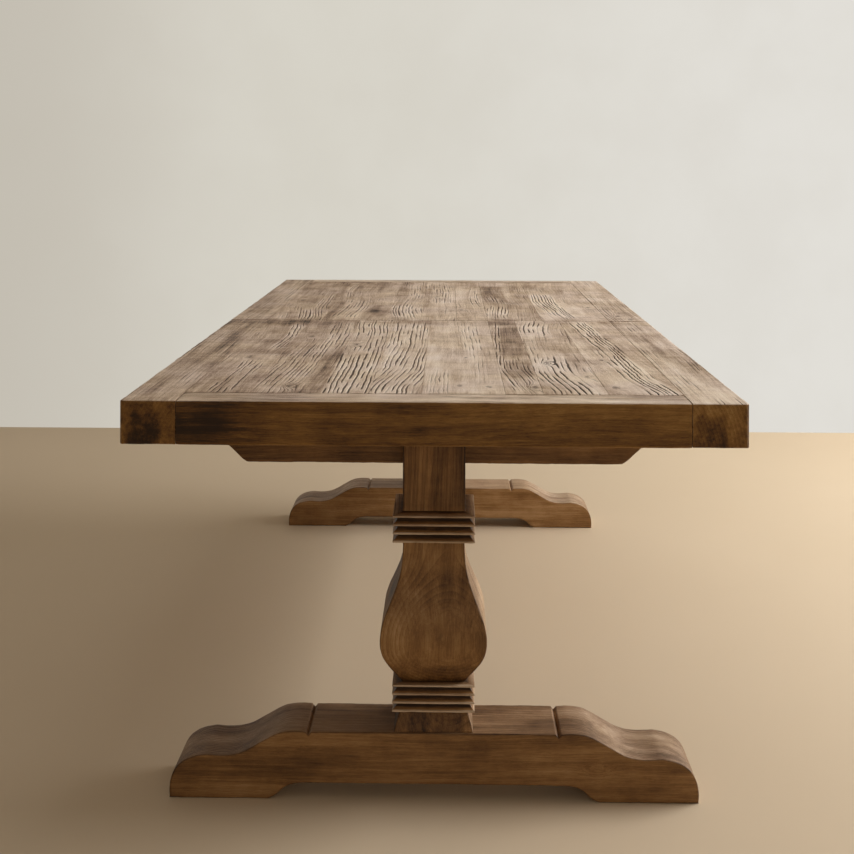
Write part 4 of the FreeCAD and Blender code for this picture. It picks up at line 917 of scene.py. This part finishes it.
def plinth_profile():
    curve = smooth_curve([(0, 73), (15.6, 68.8), (31.2, 64.2), (44.5, 62)], 16) * MM
    low = [(FOOT_TOP, 0.0726), (FOOT_TOP + 0.4 * MM, 0.073)]
    high = [(PLINTH_TOP - 0.5 * MM, 0.0620), (PLINTH_TOP, 0.0615)]
    return low + [(FOOT_TOP + up, half) for up, half in curve[1:-1]] + high


for trestle, side, pith, knots, seed in (
        ("near", -1, (0.03, -0.21), (((0.014, -0.09, -0.115), 0.008),), 91),
        ("far", 1, (-0.06, 0.20), (), 94)):
    add_square_piece(f"{trestle}_post", post_profile(), side, pith, knots, 2.2 * MM, seed)
    add_square_piece(f"{trestle}_plinth", plinth_profile(), side, (0.03, 0.09), (), 1.6 * MM, seed + 1,
                     squash=0.016)


# Collars: four mitred strips with ridges

MITRE_GAP = 0.12 * MM
COLLAR_PITH = (0.02, -0.05)


def strip_profile(bottom, top, slope):
    """The outline of a strip across its length: distance to the post's middle, and height."""
    inner, bed, ridge, edge = 0.0552, 0.0655, 0.07515, 0.0034
    pitch = (top - bottom - slope - edge) / 3
    outline = [(inner, bottom)]
    for k in range(4):
        base = bottom + k * pitch
        if k:
            outline.append((bed, base))
        outline += [(ridge - 0.0005, base), (ridge, base + 0.0005), (ridge, base + edge - 0.0008),
                    (ridge - 0.0003, base + edge - 0.0003), (ridge - 0.0009, base + edge)]
        if k < 3:
            drop = ridge - 0.0009 - bed
            for up, inward in ((0.12, 0.22), (0.30, 0.48), (0.52, 0.73), (0.76, 0.92)):
                outline.append((ridge - 0.0009 - inward * drop, base + edge + up * (pitch - edge)))
    outline.append((inner, top))
    return np.array(outline)


def add_collar(node, side, bottom, top, slope, seed):
    outline = strip_profile(bottom, top, slope)
    across = np.linspace(-1, 1, 37)
    run = across[:, None] * (outline[:, 0] - MITRE_GAP)
    strip = np.stack(np.broadcast_arrays(run, -outline[:, 0], outline[:, 1]), axis=-1).reshape(-1, 3)
    here = np.arange(len(strip)).reshape(run.shape)
    after = np.roll(here, -1, axis=1)
    sides = np.stack([here[:-1], here[1:], after[1:], after[:-1]], axis=-1).reshape(-1, 4)
    points, faces = [], []
    for quarter in range(4):
        turn = quarter * math.pi / 2
        spin = ((math.cos(turn), math.sin(turn), 0), (-math.sin(turn), math.cos(turn), 0), (0, 0, 1))
        points.append(strip @ np.array(spin))
        start = quarter * len(strip)
        faces += [(face + start).tolist() for face in (*sides, here[0], here[-1, ::-1])]
    points = np.concatenate(points)
    from_mitre = np.tile(np.repeat((1 - np.abs(across)) * 0.07, len(outline)), 4)
    quads = np.array([face for face in faces if len(face) == 4])
    normals = normals_of(points, quads)
    outward = np.abs(points[:, :2]).max(axis=1)
    grain = solid_grain(points, 0, COLLAR_PITH, 5.0 * MM, seed)
    turned = solid_grain(points, 1, COLLAR_PITH, 5.0 * MM, seed + 1)
    sideways = np.abs(points[:, 0]) > np.abs(points[:, 1])
    for key in grain:
        grain[key] = np.where(sideways, turned[key], grain[key])
    # Ridge noses take the pale ramp and are painted lighter as a painted highlight, less on sides facing
    # away from the window; the recesses between the ridges are painted darker as painted shade, and so
    # are the sides facing away.
    ridge = step(outward, 0.0728, 0.0748)
    shaded = facing(normals, 0, -1)
    grain["wear_and_sheen"] = np.maximum(0.8 * ridge * (1 - 0.8 * shaded), FADED * facing(normals, 0))
    slope = step(outward, 0.0668, 0.0728)
    grain["tone"] = grain["tone"] + 0.26 * ridge + 0.08 * slope - 0.60 * (1 - slope) - 0.30 * shaded
    nick = noise_at(points, (0.018, 0.018, 0.012), seed + 3)
    sink = ridge * np.clip(nick - 0.05, 0, 1) * 0.9 * MM
    sink = sink + 0.5 * MM * (1 - step(from_mitre, 0, 0.004)) * ridge
    sink = np.where(outward > 0.060, sink + 0.1 * MM, 0)
    points = points - normals * sink[:, None]
    points[:, 1] += side * TRESTLE
    add_worn(node, points, faces, grain, base_wood, "base_wood")


for trestle, side, seed in (("near", -1, 101), ("far", 1, 105)):
    add_collar(f"{trestle}_lower_collar", side, PLINTH_TOP, BULB_BOTTOM, 0.001, seed)
    add_collar(f"{trestle}_upper_collar", side, BULB_TOP + RING_GAP, SHAFT_BOTTOM - RING_GAP, 0.004,
               seed + 2)


# Bearers and stretcher

BEAM_PITH = (0.09, -0.09)


def add_beam(node, axis, low, high, radius, seed, half_width=None):
    """A squared beam. The half width, where given, says how far it reaches sideways at each height."""
    spacing = [4 * MM] * 3
    spacing[axis] = 7 * MM
    rims = ((radius, radius),) * 3
    sides = [lines(low[k], high[k], spacing[k], rims[k]) for k in range(3)]
    points, quads, _ = block(*sides)
    points, edge = soften(points, low, high, rims)
    if half_width:
        points[:, 0] *= half_width(points[:, 2]) / high[0]
    normals = normals_of(points, quads)
    grain = solid_grain(points, axis, BEAM_PITH, 4.6 * MM, seed)
    shade = grain["tone"] - 0.08
    if half_width:
        # The band just under the frame is painted darker as painted shade, and the left end is also made
        # darker.
        shade = shade - 0.16 * (1 - step(points[:, 0], -0.26, 0.12)) + 0.06
        shade = shade - 0.25 * step(points[:, 2], FRAME_BOTTOM - 0.022, FRAME_BOTTOM)
    grain["tone"] = shade
    points = carve(points, normals, grain, 0.5 * MM)
    points = points - normals * worn_edge(points, edge, 6 * MM, 1.1 * MM, seed)[:, None]
    add_worn(node, points, quads.tolist(), grain, base_wood, "base_wood")


BEARER_BOTTOM = 0.609
BEARER_HEIGHT = 0.077
BEARER_ROUND = 0.022
BEARER_HALF_DEPTH = 0.030
BEARER_REACH = 0.391


def bearer_half_width(up):
    """Rounded below, then slanting out to the top."""
    rise = np.clip(up - BEARER_BOTTOM, 0, BEARER_HEIGHT)
    slanted = 0.350 + rise * 0.082 / BEARER_HEIGHT
    rounded = 0.3413 + np.sqrt(np.maximum(BEARER_ROUND ** 2 - (BEARER_ROUND - rise) ** 2, 0))
    return np.where(rise < 0.00595, rounded, slanted)


for trestle, side, seed in (("near", -1, 111), ("far", 1, 112)):
    middle = side * TRESTLE
    add_beam(f"{trestle}_bearer", 0, (-BEARER_REACH, middle - BEARER_HALF_DEPTH, BEARER_BOTTOM),
             (BEARER_REACH, middle + BEARER_HALF_DEPTH, FRAME_BOTTOM), 1.8 * MM, seed, bearer_half_width)
low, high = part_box("stretcher")
add_beam("stretcher", 1, low, high, 3 * MM, 115)


# Pieces that stay as they are packed

INNER = ramp((186, 152, 112), (164, 128, 88), (120, 88, 56))
PEG = ramp((200, 172, 132), (182, 150, 110), (140, 108, 74))
cleat_wood = planed_wood("cleat_wood", 0, *INNER, 3.0)
slide_wood = planed_wood("slide_wood", 1, *INNER, 7.0)
peg_wood = planed_wood("peg_wood", 1, *PEG, 5.0)
bolt_steel = worn_metal("bolt_steel", colour(176, 176, 172), colour(120, 118, 114), 0.38, 60.0)
lock_steel = worn_metal("lock_steel", colour(96, 94, 90), colour(60, 57, 54), 0.46, 45.0)
pin_brass = worn_metal("pin_brass", colour(206, 170, 96), colour(160, 122, 62), 0.34, 80.0)

KEPT = {
    cleat_wood: [f"{half}_{at}_cleat" for half in ("near", "far") for at in ("seam", "middle", "end")],
    slide_wood: [f"{hand}_slide_bar" for hand in ("left", "right")]
    + [f"{half}_{hand}_runner" for half in ("near", "far") for hand in ("left", "right")],
    peg_wood: ["stretcher_dowels"],
    bolt_steel: ["foot_bolts", "bearer_bolts", "slide_bar_screws", "near_screws", "far_screws"],
    lock_steel: ["lock_plates", "lock_keepers", "left_lock_lever", "right_lock_lever"],
    pin_brass: ["seam_pins"],
}
for material, nodes in KEPT.items():
    for node in nodes:
        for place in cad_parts[node].material_slots:
            place.material = material


# Floor, wall, light and camera

FLOOR_HALF = 9
FLOOR_FRONT = -7
WALL_PLACE = 2.19
WALL_HEIGHT = 6
WALL_COLOUR = colour(215, 211, 201)


def add_sheet(name, front, height, material):
    """A sheet from the front to the wall, rising to the height."""
    corners = [(-FLOOR_HALF, front, 0), (FLOOR_HALF, front, 0), (FLOOR_HALF, WALL_PLACE, height),
               (-FLOOR_HALF, WALL_PLACE, height)]
    mesh = bpy.data.meshes.new(name)
    mesh.from_pydata(corners, [], [(0, 1, 2, 3)])
    mesh.materials.append(material)
    sheet = add_object(name, mesh)
    return sheet


floor = Finish("pale_floor")
cloud = floor.noise(floor.object_place(), 1.3, 3.0, 0.5)
floor.give("Base Color", floor.mix(cloud, colour(212, 194, 168), colour(218, 201, 176)))
floor.give("Roughness", 0.75)
add_sheet("floor", FLOOR_FRONT, 0, floor.material)

# The wall throws light back, and in reflections it glows with its own colour as a painted reflection.
# The camera sees the world in its place, so the wall hides nothing from behind.
plaster = Finish("pale_wall")
plaster.give("Base Color", WALL_COLOUR)
plaster.give("Roughness", 0.9)
rays = plaster.node("ShaderNodeLightPath").outputs
seen = plaster.math("MAXIMUM", rays["Is Glossy Ray"], rays["Is Transmission Ray"])
glow = plaster.node("ShaderNodeEmission", {"Color": WALL_COLOUR, "Strength": 1.0})
both = plaster.node("ShaderNodeMixShader", {0: seen, 1: plaster.shader.outputs[0], 2: glow.outputs[0]})
plaster.connect(both.outputs[0], plaster.tree.nodes["Material Output"].inputs["Surface"])
wall = add_sheet("wall", WALL_PLACE, WALL_HEIGHT, plaster.material)
wall.visible_camera = False


def add_light(name, place, target, width, height, power, tint):
    lamp = bpy.data.lights.new(name, "AREA")
    lamp.shape = "RECTANGLE"
    lamp.size = width
    lamp.size_y = height
    lamp.energy = power
    lamp.color = tint
    holder = add_object(name, lamp)
    holder.location = place
    away = np.array(target) - np.array(place)
    down = math.acos(-away[2] / np.linalg.norm(away))
    holder.rotation_euler = (down, 0, math.atan2(away[1], away[0]) - math.pi / 2)


add_light("window_light", (4.3, 0.6, 2.4), (0, -0.2, 0.4), 3.0, 2.4, 228, (1.0, 0.98, 0.95))
add_light("ceiling_light", (0.0, -0.6, 3.6), (0, 0, 0), 3.2, 3.2, 14, (1.0, 0.98, 0.95))
add_light("room_light", (0.8, -6.2, 1.5), (0, -0.8, 0.5), 4.0, 2.2, 24, (1.0, 0.9, 0.78))

world = bpy.context.scene.world or bpy.data.worlds.new("world")
bpy.context.scene.world = world
world.use_nodes = True
sky = Graph(world.node_tree)
way = sky.node("ShaderNodeTexCoord").outputs["Generated"]
across = sky.node("ShaderNodeSeparateXYZ", {"Vector": way}).outputs[0]
# The camera sees a pale backdrop, painted darker to the left and lighter to the right as a painted light
# falloff, with faint clouds; other rays get a dim warm world light.
shade = sky.mix(sky.rise(across, -0.36, -0.13), colour(196, 190, 178), colour(215, 211, 200))
shade = sky.mix(sky.rise(across, -0.13, 0.29), shade, colour(226, 223, 216))
cloud = sky.rise(sky.noise(way, 12.0, 4.0, 0.55), 0.3, 0.7, 0.0, 0.12)
shade = sky.mix(cloud, shade, colour(190, 182, 168))
seen = sky.node("ShaderNodeLightPath").outputs["Is Camera Ray"]
background = world.node_tree.nodes["Background"]
sky.connect(sky.mix(seen, colour(255, 232, 202), shade), background.inputs["Color"])
sky.connect(sky.rise(seen, 0.0, 1.0, 0.20, 1.0), background.inputs["Strength"])

YAW = math.radians(1.015)
ROLL = math.radians(0.175)
lens = bpy.data.cameras.new("camera")
lens.sensor_width = 36
lens.lens = 51.45
lens.shift_y = -0.310
camera = add_object("camera", lens)
camera.location = (0.0249, -3.1309, 1.1674)
camera.rotation_euler = (math.pi / 2, -ROLL, YAW)
bpy.context.scene.camera = camera
bpy.context.scene.view_settings.view_transform = "Standard"
